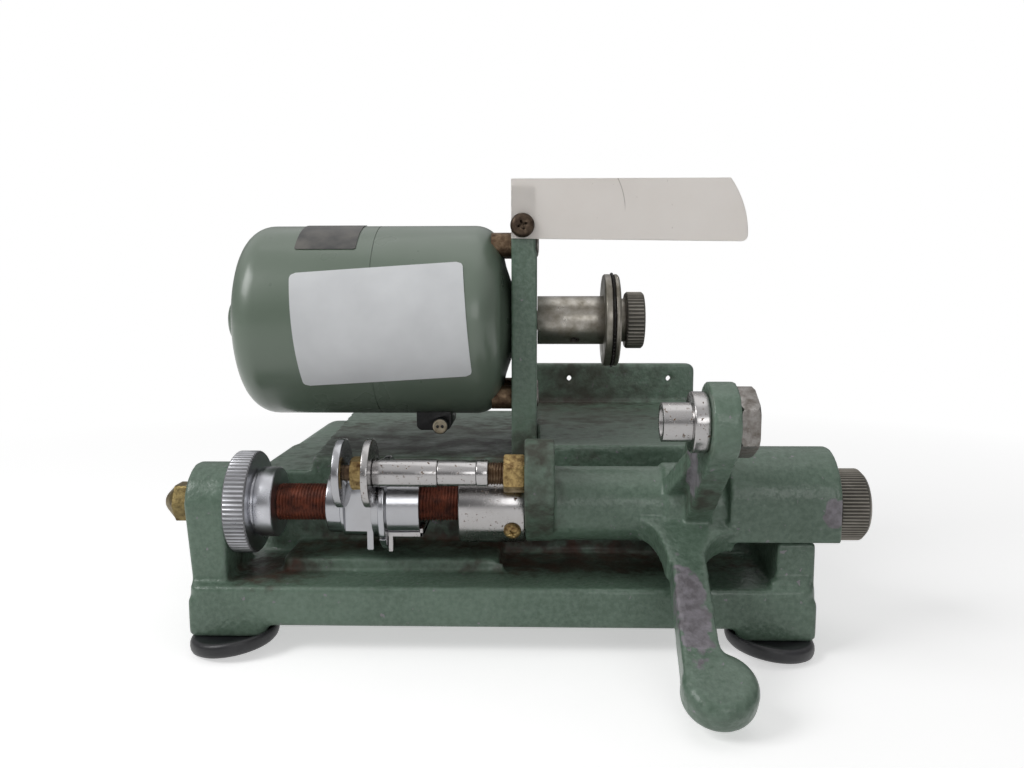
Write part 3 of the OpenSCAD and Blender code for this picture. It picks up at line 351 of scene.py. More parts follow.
def dress(obj, body, material, slot, *stands_for):
    """Gives a piece its finish and its place in the frame."""
    obj.data.materials.clear()
    obj.data.materials.append(material)
    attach(obj, body)
    if stands_for:
        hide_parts(*stands_for)
    return obj


def baked(obj):
    """Applies an object's modifiers."""
    bpy.context.view_layer.update()
    graph = bpy.context.evaluated_depsgraph_get()
    mesh = bpy.data.meshes.new_from_object(obj.evaluated_get(graph))
    obj.modifiers.clear()
    obj.data = mesh
    return obj


def cad_bmesh(node):
    """A CAD node's mesh, welded, with its flat faces joined up again."""
    bm = bmesh.new()
    bm.from_mesh(frame["nodes"][node].data)
    bmesh.ops.remove_doubles(bm, verts=bm.verts, dist=0.002 * MM)
    bmesh.ops.dissolve_limit(
        bm, angle_limit=math.radians(0.4), verts=bm.verts, edges=bm.edges, use_dissolve_boundaries=False)
    return bm


def machined(node, material, edge=0.25 * MM, sharp=32):
    """A CAD node with its sharp edges broken, in place of the plain one."""
    bm = cad_bmesh(node)
    corners = [e for e in bm.edges if len(e.link_faces) == 2 and e.calc_face_angle(0) > math.radians(sharp)]
    bmesh.ops.bevel(bm, geom=corners, offset=edge, offset_type="OFFSET", segments=2, profile=0.5,
                    affect="EDGES", clamp_overlap=True)
    obj = to_object("dressed_" + node, bm)
    return dress(obj, BODY_OF[node], material, SLOT_OF[node], node)


def block(lo, hi):
    """A box between two corners, in millimetres, to be fused into a casting or cut from it."""
    (x0, y0, z0), (x1, y1, z1) = lo, hi
    return prism([(x0, y0, z0), (x1, y0, z0), (x1, y1, z0), (x0, y1, z0)], (0, 0, z1 - z0))


def prism(outline, sweep):
    """A closed outline of points swept along a vector, both in millimetres."""
    start = [Vector(point) * MM for point in outline]
    return to_object("prism", rings_mesh([start, [point + Vector(sweep) * MM for point in start]]))


def rounded_plan(x0, x1, y0, y1, corner, steps=6):
    """The corners of a rounded rectangle as (a, b) pairs, counter-clockwise."""
    points = []
    for cx, cy, start in ((x1 - corner, y1 - corner, 0), (x0 + corner, y1 - corner, 90),
                          (x0 + corner, y0 + corner, 180), (x1 - corner, y0 + corner, 270)):
        for step in range(steps + 1):
            angle = math.radians(start + 90 * step / steps)
            points.append((cx + corner * math.cos(angle), cy + corner * math.sin(angle)))
    return points


def cast(node, material, voxel, passes, add=(), cut=(), reshape=None):
    """A CAD node as a sand casting: its edges and inner corners flow into each other."""
    bm = bmesh.new()
    bm.from_mesh(frame["nodes"][node].data)
    bmesh.ops.remove_doubles(bm, verts=bm.verts, dist=0.002 * MM)
    obj = to_object("cast_" + node, bm)
    for piece in cut:
        cut_away(obj, piece)
    for piece in add:
        joined(obj, piece)
    remesh = obj.modifiers.new("remesh", "REMESH")
    remesh.mode = "VOXEL"
    remesh.voxel_size = voxel
    remesh.use_smooth_shade = True
    relax = obj.modifiers.new("relax", "SMOOTH")
    relax.factor = 0.5
    relax.iterations = passes
    baked(obj)
    if reshape:
        for vertex in obj.data.vertices:
            vertex.co = reshape(vertex.co)
    return dress(obj, BODY_OF[node], material, SLOT_OF[node], node)


def rings_mesh(rings, closed_ends=True):
    """Joins rings of points, all with the same count, into a skin."""
    bm = bmesh.new()
    loops = [[bm.verts.new(p) for p in ring] for ring in rings]
    count = len(loops[0])
    for a, b in zip(loops, loops[1:]):
        for i in range(count):
            bm.faces.new((a[i], a[(i + 1) % count], b[(i + 1) % count], b[i]))
    if closed_ends:
        bm.faces.new(loops[0][::-1])
        bm.faces.new(loops[-1])
    return bm


def lathe_x(profile, axis, segments=64):
    """A solid of revolution along X: profile holds (x, radius) pairs."""
    turns = [2 * math.pi * i / segments for i in range(segments)]
    return rings_mesh([
        [(x, axis.y + r * math.cos(turn), axis.z + r * math.sin(turn)) for turn in turns] for x, r in profile])


def threaded_bar(spans, axis, depth, segments=40, steps=6):
    """A bar along X in spans of (x0, x1, radius, pitch); pitch 0 is plain, else a helical thread."""
    rings = []
    for x0, x1, radius, pitch in spans:
        count = 1 if pitch == 0 else math.ceil((x1 - x0) / pitch * steps)
        for j in range(count + 1):
            x = x0 + (x1 - x0) * j / count
            ring = []
            for i in range(segments):
                turn = i / segments
                cut = 0 if pitch == 0 else depth * abs(2 * ((x / pitch + turn) % 1) - 1)
                angle = 2 * math.pi * turn
                r = radius - cut
                ring.append((x, axis.y + r * math.cos(angle), axis.z + r * math.sin(angle)))
            rings.append(ring)
    return rings_mesh(rings)


def cut_away(obj, cutter):
    """Takes one mesh out of another."""
    cut = obj.modifiers.new("cut", "BOOLEAN")
    cut.operation = "DIFFERENCE"
    cut.solver = "EXACT"
    cut.object = cutter
    baked(obj)
    bpy.data.objects.remove(cutter)
    return obj


def slot_cutter(size, width, depth, turn):
    """One arm of a cross recess pointing down -Z, its ends sloping inwards."""
    low = size * 0.45
    points = [(-size, 0.5 * depth), (size, 0.5 * depth), (low, -depth), (-low, -depth)]
    spin = Matrix.Rotation(turn, 3, "Z")
    rings = [[spin @ Vector((x, side * width / 2, z)) for x, z in points] for side in (-1, 1)]
    return to_object("slot_cutter", rings_mesh(rings))


def pan_head(name, radius, height, recess, stem_radius, stem_length):
    """A pan head screw with its seat at the origin and its face towards +Z, with a cross recess."""
    profile = [(-stem_length, 0.05 * MM), (-stem_length, stem_radius), (0, stem_radius), (0, radius),
               (0.38 * height, radius), (0.72 * height, 0.9 * radius), (0.92 * height, 0.7 * radius),
               (height, 0.4 * radius), (height, 0.05 * MM)]
    obj = to_object(name, lathe_x(profile, Vector((0, 0, 0)), 48))
    obj.data.transform(Matrix.Rotation(-math.pi / 2, 4, "Y"))
    for turn in (0, math.pi / 2):
        cutter = slot_cutter(recess, recess * 0.34, height * 0.7, turn)
        cutter.data.transform(Matrix.Translation((0, 0, height)))
        cut_away(obj, cutter)
    return obj


def joined(obj, other):
    """Adds another object's mesh to this one."""
    bm = bmesh.new()
    bm.from_mesh(obj.data)
    bm.from_mesh(other.data)
    bm.to_mesh(obj.data)
    bm.free()
    bpy.data.objects.remove(other)
    return obj


def moved(obj, matrix):
    """Shifts or turns a piece's mesh in place."""
    obj.data.transform(matrix)
    return obj


# ---------------------------------------------------------------- finishes used below

PAINT_BASE = casting_paint(
    "casting_base",
    rusty=[((-0.092, -0.027, 0.038), (0.022, 0.012, 0.006)), ((-0.112, -0.044, 0.032), (0.018, 0.018, 0.006)),
           ((-0.02, -0.020, 0.038), (0.050, 0.008, 0.006)), ((0.03, -0.026, 0.031), (0.07, 0.016, 0.008)),
           ((-0.01, -0.012, 0.060), (0.022, 0.006, 0.020))],
    # Dark spots: the ones on the deck and on the box front darken those places; the one on the plateau under
    # the motor is grime and painted shade; the last two, on the back wall's face and on the floor in front of
    # it, are painted shade.
    grime_and_shade_spots=[((-0.112, -0.042, 0.032), (0.022, 0.022, 0.008)), ((-0.05, 0.035, 0.080), (0.085, 0.075, 0.008)),
           ((-0.05, -0.020, 0.038), (0.065, 0.010, 0.008)), ((0.04, -0.030, 0.032), (0.080, 0.020, 0.008)),
           ((0.02, -0.010, 0.050), (0.060, 0.010, 0.020)), ((0.04, 0.138, 0.096), (0.055, 0.010, 0.022)),
           ((0.035, 0.09, 0.0865), (0.05, 0.060, 0.006))])
PAINT_BRACKET = casting_paint("casting_bracket", grime_and_shade_spots=[((0.006, -0.02, 0.085), (0.01, 0.02, 0.012))])
PAINT_MOTOR = motor_paint()
CHROME = plated("chrome", linear(166, 167, 171), 0.16, 0.35)
CHROME_PITTED = plated("chrome_pitted", linear(168, 166, 166), 0.18, 1.0)
STEEL = turned_steel("spindle_steel", linear(168, 164, 157), linear(122, 116, 104), 0.26)
STEEL_DARK = turned_steel("flange_steel", linear(142, 138, 130), linear(104, 99, 88), 0.36)
NUT_METAL = rusted("nut_metal", linear(142, 139, 136), linear(104, 98, 92), 0.42, 0.85)
RUST = rusted("rust", linear(122, 64, 44), linear(62, 30, 22))
WHEEL_CHROME = knurled("wheel_chrome", "feed_wheel", linear(190, 191, 196), 0.26)
KNOB_KNURL = knurled("knob_knurl", "end_knob", linear(134, 130, 122), 0.4)
NUT_KNURL = knurled("nut_knurl", "clamp_nut", linear(134, 130, 122), 0.36)
SCREW_RUST = rusted("screw_rust", linear(88, 74, 60), linear(50, 38, 30), 0.45, 0.75)
RUST_GREY = rusted("rust_grey", linear(122, 102, 80), linear(70, 50, 36), 0.5, 0.7)
BRASS = rusted("brass", linear(132, 117, 76), linear(82, 70, 44), 0.42, 0.85)
BRASS_SPECKLED = rusted("brass_speckled", linear(182, 158, 106), linear(88, 64, 38), 0.45, 0.8)
DARK_STEEL = rusted("dark_steel", linear(46, 44, 42), linear(26, 24, 23), 0.45, 0.7)
COPPER = rusted("copper", linear(170, 96, 54), linear(110, 58, 32), 0.4, 0.9)
RUBBER = rubber()
BLACK = rusted("black_plastic", linear(30, 30, 31), linear(20, 20, 21), 0.5, 0.0)
SHEET = shield_sheet()
CORD_SHEATH = pale_sheath()


def handle_patches():
    """Worn places on the carriage, given from its own axes."""
    lo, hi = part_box("carriage_casting")
    stem_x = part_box("key_holder_sleeve")[1].x - 24 * MM
    return [
        ((stem_x, -0.110, 0.040), (0.0065, 0.024, 0.026)),
        ((hi.x - 3 * MM, -0.066, 0.066), (0.006, 0.006, 0.006)),
        ((0.0786, -0.080, 0.088), (0.0018, 0.012, 0.013)),
    ]


PAINT_CARRIAGE = casting_paint(
    "casting_carriage", bare=handle_patches(),
    rusty=[((HOLDER_AXIS.x - 5 * MM, HOLDER_AXIS.y, HOLDER_AXIS.z), (0.004, 0.018, 0.018))],
    grime_and_shade_spots=[((0.0135, -0.06, 0.085), (0.010, 0.03, 0.03)), ((0.085, -0.075, 0.085), (0.008, 0.02, 0.02))])


# ---------------------------------------------------------------- the machine

# Places on the castings, in millimetres and degrees
DECK_Z, SKIRT_Z, SHOULDER_Z, POST_W = 31.0, 52.0, 73.0, 17.1
PAD_X, PAD_Y, PAD_CORNER, PAD_RISE = (-109.8, -5.6), (-46.0, -10.0), 5, 7.4
SHOULDER_X, SHOULDER_Y, SHOULDER_CORNER, SHOULDER_CUT_X = (-131.5, -60.0), (-14.4, 69.0), 14, -113.4
LEAN_FROM_X, LEAN_OVER_X, LEAN_OVER_Z, POST_OVERHANG, BOX_FRONT = -135.0, 6, 36, 2.6, -16.0
HANDLE_ANGLE, HOLDER_ANGLE = 28.5, 39.0
STEM_LEFT, STEM_RIGHT, ROOT_THICK, WEB_THICK = 68.5, 84.5, 13, 9


def base_additions():
    """Forms of the base that the solid shows more plainly: post front, foot step, deck pad and shoulder."""
    right = BASE_HI.x / MM
    post = right - POST_W
    pad = rounded_plan(*PAD_X, *PAD_Y, PAD_CORNER)
    shoulder = rounded_plan(*SHOULDER_X, *SHOULDER_Y, SHOULDER_CORNER)
    return [
        block((post, -63, DECK_Z - 1), (right, SCREW_AXIS.y / MM, SKIRT_Z - 0.8)),
        block((post - 3, -66, DECK_Z - 1), (right - 3, -60, DECK_Z + 3.5)),
        prism([(x, y, DECK_Z - 1) for x, y in pad], (0, 0, PAD_RISE)),
        prism([(x, y, DECK_Z - 1) for x, y in shoulder], (0, 0, SHOULDER_Z - DECK_Z + 1)),
    ]


def base_cuts():
    """What makes way for the shoulder and the deck pad; the first ends just short of the shoulder's back."""
    return [
        block((-150, SHOULDER_Y[0] - 0.6, DECK_Z + 0.05), (SHOULDER_CUT_X, SHOULDER_Y[1] - 1, 100)),
        block((-112, -67, DECK_Z + 0.05), (5, PAD_Y[0] + 0.5, DECK_Z + 7)),
    ]


def lean_left_post(point):
    """The left post's outer face leans out as it rises."""
    rise = min(1, max(0, (point.z / MM - DECK_Z) / LEAN_OVER_Z))
    near = min(1, max(0, (LEAN_FROM_X - point.x / MM) / LEAN_OVER_X))
    out = Vector(point)
    if point.y < BOX_FRONT * MM:
        out.x -= POST_OVERHANG * MM * near * rise
    return out


def radial(angle):
    """The outward and the crossing direction of a plate that rises at an angle in front of the screw."""
    turn = math.radians(angle)
    return Vector((0, -math.cos(turn), math.sin(turn))), Vector((0, math.sin(turn), math.cos(turn)))


def plate_piece(angle, outline, thickness):
    """A flat plate from the screw axis outwards: its outline holds (x, distance) pairs in millimetres."""
    out, cross = radial(angle)
    axis = Vector((0, SCREW_AXIS.y, SCREW_AXIS.z)) / MM
    points = [Vector((x, 0, 0)) + axis + out * reach - cross * thickness / 2 for x, reach in outline]
    return prism(points, cross * thickness)


def flare(x_root, x_stem, low, high, steps=8):
    """A concave fillet from the barrel to the stem's edge."""
    return [(x_stem + (x_root - x_stem) * (1 - math.sin(math.pi / 2 * i / steps)),
             high - (high - low) * math.cos(math.pi / 2 * i / steps)) for i in range(steps + 1)]


def carriage_additions():
    """The fillets at the handle's root and the web beside the arm."""
    left = flare(STEM_LEFT - 10, STEM_LEFT, 18, 42)
    right = flare(STEM_RIGHT + 17, STEM_RIGHT, 25, 44)
    root = left + right[::-1] + [(STEM_RIGHT + 16, 10), (STEM_LEFT - 9, 10)]
    web = [(69, 13), (80, 13), (80, 54), (78.5, 54)]
    return [plate_piece(-HANDLE_ANGLE, root, ROOT_THICK), plate_piece(HOLDER_ANGLE, web, WEB_THICK)]


def make_castings():
    """The three sand castings: base, motor bracket and carriage."""
    cast("base_casting", PAINT_BASE, 1.25 * MM, 5, base_additions(), base_cuts(), lean_left_post)
    cast("motor_bracket", PAINT_BRACKET, 1.0 * MM, 3)
    cast("carriage_casting", PAINT_CARRIAGE, 0.9 * MM, 6, carriage_additions())


JOURNAL_R, FEED_PITCH, FEED_THREAD_DEPTH = 6 * MM, 1.5 * MM, 0.9 * MM
ROD_NECK_R, ROD_PITCH, ROD_THREAD_DEPTH = 3.5 * MM, 1.25 * MM, 0.7 * MM
POST_ROOM = 17.4 * MM  # the right post's width and the gap beside it


def make_feed_screw():
    """The long screw: plain journals in both posts and a thread between wheel and right post."""
    x0, x1 = x_span("feed_screw")
    wheel_end = x_span("feed_wheel")[1]
    post = BASE_HI.x - POST_ROOM
    spans = [(x0, wheel_end, JOURNAL_R, 0), (wheel_end, post, box_radius("feed_screw"), FEED_PITCH),
             (post, x1, JOURNAL_R, 0)]
    bar = to_object("feed_screw_thread", threaded_bar(spans, SCREW_AXIS, FEED_THREAD_DEPTH), 60)
    dress(bar, "feed", RUST, "rusty_steel", "feed_screw")


def make_tracer_rod():
    """The rod over the screw, with a thread where it enters the lug."""
    x0, x1 = x_span("tracer_rod")
    shoulder = x_span("rod_ring")[1]
    spans = [(x0, shoulder, ROD_NECK_R, 0), (shoulder, x1, box_radius("tracer_rod"), ROD_PITCH)]
    bar = to_object("tracer_rod_thread", threaded_bar(spans, ROD_AXIS, ROD_THREAD_DEPTH), 60)
    dress(bar, "carriage", RUST_GREY, "rusty_steel", "tracer_rod")


# A cup's half section from its hollow round the rim to its top, as shares of radius and height
CUP_PROFILE = [(0.1, 0.42), (0.4, 0.34), (0.72, 0.12), (0.84, 0.0), (0.90, 0.0), (0.96, 0.10), (0.99, 0.28),
               (1.0, 0.5), (0.995, 0.7), (0.97, 0.86), (0.92, 0.96), (0.84, 1.0), (0.6, 1.0), (0.05, 1.0)]
CUP_SIDES = 72
FEET = (("foot_front_left", 0.14), ("foot_rear_left", 0.05),
        ("foot_front_right", -0.14), ("foot_rear_right", -0.05))


def make_foot(node, tilt):
    """A relaxed suction cup: its rim leans so that the outer side touches down."""
    middle = centre(node)
    lo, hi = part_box(node)
    radius = (hi.x - lo.x) / 2
    height = hi.z - lo.z
    rings = []
    for r, z in CUP_PROFILE:
        ring = []
        for i in range(CUP_SIDES):
            angle = 2 * math.pi * i / CUP_SIDES
            x, y = r * radius * math.cos(angle), r * radius * math.sin(angle)
            lift = (radius + x * math.copysign(1, tilt)) * abs(tilt) * (0.35 + 0.65 * r)
            ceiling = (1.0 + 0.65 * max(0, r - 0.6) / 0.4) * height
            ring.append((middle.x + x, middle.y + y, min(z * height + lift * r, ceiling)))
        rings.append(ring)
    cup = to_object("cup_" + node, rings_mesh(rings), 70)
    dress(cup, "base", RUBBER, "rubber", node)


SLEEVE_SCREW_ANGLE = 28  # degrees below the front


def make_screw_heads():
    """The pan heads on the shield and on the guide sleeve."""
    lo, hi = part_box("shield_screw")
    place = Vector(((lo.x + hi.x) / 2, SHIELD_LO.y - 0.05 * MM, (lo.z + hi.z) / 2))
    head = pan_head("shield_screw_head", 5.9 * MM, 4.0 * MM, 3.3 * MM, 3 * MM, 14 * MM)
    upright = Matrix.Rotation(math.pi / 2, 4, "X")
    moved(head, Matrix.Translation(place) @ upright @ Matrix.Rotation(math.radians(20), 4, "Z"))
    dress(head, "base", SCREW_RUST, "rusty_steel", "shield_screw")

    lo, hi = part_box("sleeve_screw")
    below = math.radians(SLEEVE_SCREW_ANGLE)
    out = Vector((0, -math.cos(below), -math.sin(below)))
    seat_r = box_radius("guide_sleeve") - 0.2 * MM
    seat = Vector(((lo.x + hi.x) / 2, SCREW_AXIS.y, SCREW_AXIS.z)) + out * seat_r
    head = pan_head("sleeve_screw_head", 4 * MM, 2.7 * MM, 2.3 * MM, 2 * MM, 7 * MM)
    facing = Matrix.Rotation(math.pi / 2 + below, 4, "X")
    moved(head, Matrix.Translation(seat) @ facing @ Matrix.Rotation(0.4, 4, "Z"))
    dress(head, "carriage", BRASS_SPECKLED, "brass", "sleeve_screw")


def make_set_screw():
    """The hub's grub screw, with a round socket."""
    lo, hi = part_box("hub_set_screw")
    below = math.radians(54)
    out = Vector((0, -math.cos(below), -math.sin(below)))
    profile = [(0, 0.05 * MM), (0, 2.4 * MM), (4.6 * MM, 2.45 * MM), (4.9 * MM, 2.1 * MM),
               (4.9 * MM, 1.5 * MM), (2.6 * MM, 1.4 * MM), (2.6 * MM, 0.05 * MM)]
    bm = lathe_x(profile, Vector((0, 0, 0)), 6 * 6)
    screw = to_object("set_screw_socket", bm)
    moved(screw, Matrix.Rotation(-math.pi / 2, 4, "Y"))
    seat = Vector(((lo.x + hi.x) / 2, SPINDLE_AXIS.y, SPINDLE_AXIS.z)) + out * 5.2 * MM
    moved(screw, Matrix.Translation(seat) @ Matrix.Rotation(math.pi / 2 + below, 4, "X"))
    dress(screw, "spindle", DARK_STEEL, "steel", "hub_set_screw")


def make_cutter():
    """The thin cutting disc with its fine ratchet teeth."""
    x0, x1 = x_span("cutter_disc")
    radius = box_radius("cutter_disc")
    teeth, tooth_depth, tooth_lean = 72, 0.5 * MM, 0.6
    rings = []
    for x, scale in ((x0, 0.2), (x0, 1), (x1, 1), (x1, 0.2)):
        ring = []
        for i in range(teeth * 2):
            r = radius * scale if scale < 1 else radius - (i % 2) * tooth_depth
            angle = 2 * math.pi * (i + tooth_lean * (i % 2)) / (2 * teeth)
            ring.append((x, SPINDLE_AXIS.y + r * math.cos(angle), SPINDLE_AXIS.z + r * math.sin(angle)))
        rings.append(ring)
    disc = to_object("cutter_teeth", rings_mesh(rings, False), 30)
    dress(disc, "spindle", DARK_STEEL, "steel", "cutter_disc")


# The motor's outline: its right shoulder, the shoulders' radius and how far the rear end bulges
SHELL_RIGHT, SHELL_CORNER, END_BULGE = -5.2 * MM, 14 * MM, 1.6 * MM
NEAR_AXIS = 0.3 * MM  # a profile ends this close to its axis


def motor_radius_at(x):
    """The motor shell's outer radius at x, from its rounded ends."""
    left, right = x_span("motor_rear_shell")[0], SHELL_RIGHT
    inside = min(x - left, right - x)
    if inside >= SHELL_CORNER:
        return MOTOR_R
    return MOTOR_R - SHELL_CORNER + math.sqrt(max(0, SHELL_CORNER ** 2 - (SHELL_CORNER - inside) ** 2))


def curved_plate(name, middle_x, middle_angle, size, corner, tilt, lift, thickness, rows=64, columns=36):
    """A thin plate with round corners laid on the motor's curved side; angles count from the front up."""
    half_w, half_h = size[0] / 2, size[1] / 2
    bm = bmesh.new()

    def inside_x(y, side):
        limit = half_w
        if abs(y) > half_h - corner:
            limit = half_w - corner + math.sqrt(max(0, corner ** 2 - (abs(y) - half_h + corner) ** 2))
        return side * limit

    grid = []
    for j in range(rows + 1):
        y = -half_h + size[1] * j / rows
        row = []
        for i in range(columns + 1):
            x = inside_x(y, -1) + (inside_x(y, 1) - inside_x(y, -1)) * i / columns
            along = x * math.cos(tilt) - y * math.sin(tilt)
            around = x * math.sin(tilt) + y * math.cos(tilt)
            px = middle_x + along
            radius = motor_radius_at(px) + lift
            angle = middle_angle + around / MOTOR_R
            y_out, z_out = radius * math.cos(angle), radius * math.sin(angle)
            row.append(bm.verts.new((px, SPINDLE_AXIS.y - y_out, SPINDLE_AXIS.z + z_out)))
        grid.append(row)
    for j in range(rows):
        for i in range(columns):
            bm.faces.new((grid[j][i], grid[j][i + 1], grid[j + 1][i + 1], grid[j + 1][i]))
    obj = to_object(name, bm, 60)
    solid = obj.modifiers.new("thickness", "SOLIDIFY")
    solid.thickness = thickness
    solid.offset = 1
    return baked(obj)


def make_labels():
    """Two bare plates: a blank sticker in front and a blank foil plate on top."""
    sticker = curved_plate("blank_label", -62.5 * MM, math.radians(-0.5), (83 * MM, 58 * MM), 3 * MM,
                           math.radians(4.5), 0.25 * MM, 0.15 * MM)
    dress(sticker, "base", label_paper(), "motor_paint")
    plate = curved_plate("blank_plate", -91 * MM, math.radians(68), (30 * MM, 36 * MM), 1.0 * MM,
                         0.0, 0.1 * MM, 0.3 * MM)
    dress(plate, "base", foil_plate(), "motor_paint")


def make_motor_shell():
    """The motor's two drawn shells: round shoulders, a flat rear end and a domed front end."""
    left = x_span("motor_rear_shell")[0]
    seam = x_span("motor_front_shell")[0]
    arc = [math.radians(90 * step / 10) for step in range(11)]
    centre_r = MOTOR_R - SHELL_CORNER
    rear = [(left, NEAR_AXIS), (left, 10 * MM), (left + 0.5 * END_BULGE, 0.7 * centre_r)]
    rear += [(left + END_BULGE + SHELL_CORNER * (1 - math.sin(a)), centre_r + SHELL_CORNER * math.cos(a))
             for a in reversed(arc)]
    rear += [(seam - 0.2 * MM, MOTOR_R), (seam - 0.2 * MM, NEAR_AXIS)]
    shell = to_object("motor_shell_rear", lathe_x(rear, SPINDLE_AXIS, 128), 50)
    dress(shell, "base", PAINT_MOTOR, "motor_paint", "motor_rear_shell")
    front = [(seam + 0.2 * MM, NEAR_AXIS), (seam + 0.2 * MM, MOTOR_R)]
    front += [(SHELL_RIGHT - SHELL_CORNER * (1 - math.sin(a)), centre_r + SHELL_CORNER * math.cos(a))
              for a in arc]
    front += [(SHELL_RIGHT + 1.6 * MM, 28 * MM), (SHELL_RIGHT + 4.3 * MM, 20 * MM),
              (SHELL_RIGHT + 4.6 * MM, 17 * MM), (SHELL_RIGHT + 4.6 * MM, NEAR_AXIS)]
    shell = to_object("motor_shell_front", lathe_x(front, SPINDLE_AXIS, 128), 50)
    dress(shell, "base", PAINT_MOTOR, "motor_paint", "motor_front_shell")


def hex_bar(name, profile, across_flats, turn):
    """A hexagonal bar along X; profile holds (x, limiting radius) pairs and turn moves the corners."""
    rings = []
    for x, limit in profile:
        ring = []
        for i in range(96):
            angle = 2 * math.pi * i / 96
            off = (angle - math.radians(turn)) % (math.pi / 3) - math.pi / 6
            r = min(across_flats / 2 / math.cos(off), limit)
            ring.append((x, r * math.cos(angle), r * math.sin(angle)))
        rings.append(ring)
    return to_object(name, rings_mesh(rings), 25)


def make_hex_nuts():
    """The acorn nut's blunt tip and the brass nut between the guide discs."""
    left, right = x_span("acorn_nut")
    right -= POST_OVERHANG * MM
    corner = 9.7 * MM
    nut = hex_bar("acorn_hex", [
        (right, NEAR_AXIS), (right, 8.9 * MM), (right - 0.6 * MM, corner), (right - 9 * MM, corner),
        (left + 4.4 * MM, 8.0 * MM), (left + 0.9 * MM, 4.4 * MM), (left, 3.2 * MM),
        (left, NEAR_AXIS)], 17 * MM, 0)
    moved(nut, Matrix.Translation((0, SCREW_AXIS.y, SCREW_AXIS.z)))
    dress(nut, "feed", BRASS, "brass", "acorn_nut")
    right = x_span("disc_nut")[1]
    left = right - 6.4 * MM
    nut = hex_bar("disc_nut_hex", [
        (left, NEAR_AXIS), (left, 6.9 * MM), (left + 0.6 * MM, 7.6 * MM), (right, 7.6 * MM),
        (right, NEAR_AXIS)], 13 * MM, 8)
    moved(nut, Matrix.Translation((0, ROD_AXIS.y, ROD_AXIS.z)))
    dress(nut, "carriage", BRASS_SPECKLED, "brass", "disc_nut")


def make_key_plate():
    """The thin plate under the traverse nut, its end lip and the prong behind the flange."""
    lo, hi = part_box("key_plate")
    left, right, front, back = lo.x / MM, hi.x / MM, lo.y / MM - 1.4, hi.y / MM
    low, thick, lip = SCREW_AXIS.z / MM - 13.4, 2.2, 1.6
    plate = block((left, front, low), (right, back, low + thick))
    joined(plate, block((right - lip, front, low), (right, front + 24.8, hi.z / MM)))
    joined(plate, block((left + 0.3, front, low - 7.2), (left + 0.3 + thick, front + 8, low + 0.5)))
    plate.name = "key_plate_bent"
    soften = plate.modifiers.new("soften", "BEVEL")
    soften.width = 0.25 * MM
    soften.segments = 2
    baked(plate)
    dress(plate, "traverse", CHROME_PITTED, "chrome", "key_plate")


SPACER_START = -10.4 * MM  # where the posts leave the motor's rounded end


def make_spacers():
    """The posts between motor and bracket, from where they leave the motor's shoulder."""
    bm = cad_bmesh("motor_spacers")
    for vertex in bm.verts:
        vertex.co.x = max(vertex.co.x, SPACER_START)
    dress(to_object("spacer_posts", bm), "base", RUST_GREY, "rusty_steel", "motor_spacers")


def make_motor_screws():
    """The motor's screws end almost flush in the bracket's far face."""
    lo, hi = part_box("motor_spacers")
    face = x_span("motor_bracket")[1]
    post_r = 6 * MM
    screws = None
    for y in (lo.y + post_r, hi.y - post_r):
        for z in (lo.z + post_r, hi.z - post_r):
            profile = [(-8 * MM, 0.2 * MM), (-8 * MM, 3 * MM), (face - 3 * MM, 3 * MM),
                       (face - 0.2 * MM, 5 * MM), (face + 0.5 * MM, 4.8 * MM),
                       (face + 0.9 * MM, 3.6 * MM), (face + 0.9 * MM, 0.2 * MM)]
            piece = to_object("motor_screw_heads", lathe_x(profile, Vector((0, y, z)), 40), 50)
            screws = joined(screws, piece) if screws else piece
    dress(screws, "base", NUT_METAL, "steel", "motor_bolts")


def make_shield():
    """The sheet, with its round outer end and its slightly drooping lower edge."""
    left, right, top, low = SHIELD_LO.x / MM, SHIELD_HI.x / MM, SHIELD_HI.z / MM, SHIELD_LO.z / MM
    arc_r, corner = 46.0, 3.0
    start = math.asin((top - low - corner) / arc_r)
    outline = [(left, top), (left, low + 1.6)]
    outline += [(right - corner + corner * math.cos(a), low + corner + corner * math.sin(a))
                for a in (math.radians(-90 + 15 * step) for step in range(6))]
    outline += [(right - arc_r + arc_r * math.cos(a), low + corner + arc_r * math.sin(a))
                for a in (start * step / 14 for step in range(15))]
    points = [(x, SHIELD_LO.y / MM, z) for x, z in outline]
    sheet = prism(points, (0, (SHIELD_HI.y - SHIELD_LO.y) / MM, 0))
    sheet.name = "shield_sheet"
    soften = sheet.modifiers.new("soften", "BEVEL")
    soften.width = 0.3 * MM
    soften.segments = 2
    soften.limit_method = "ANGLE"
    baked(sheet)
    dress(sheet, "shield", SHEET, "shield_plastic", "shield")


def make_motor_seam():
    """The rolled joint between the motor's two shells."""
    seam = x_span("motor_front_shell")[0]
    half = [(0.9, 0.6), (0.8, 0.02), (0.25, 0.0), (0.15, 0.35)]  # distance from the seam and depth
    profile = [(seam - x * MM, MOTOR_R - depth * MM) for x, depth in half]
    profile += [(seam + x * MM, MOTOR_R - depth * MM) for x, depth in reversed(half)]
    ring = to_object("motor_seam", lathe_x(profile, SPINDLE_AXIS, 128), 50)
    dress(ring, "base", PAINT_MOTOR, "motor_paint")


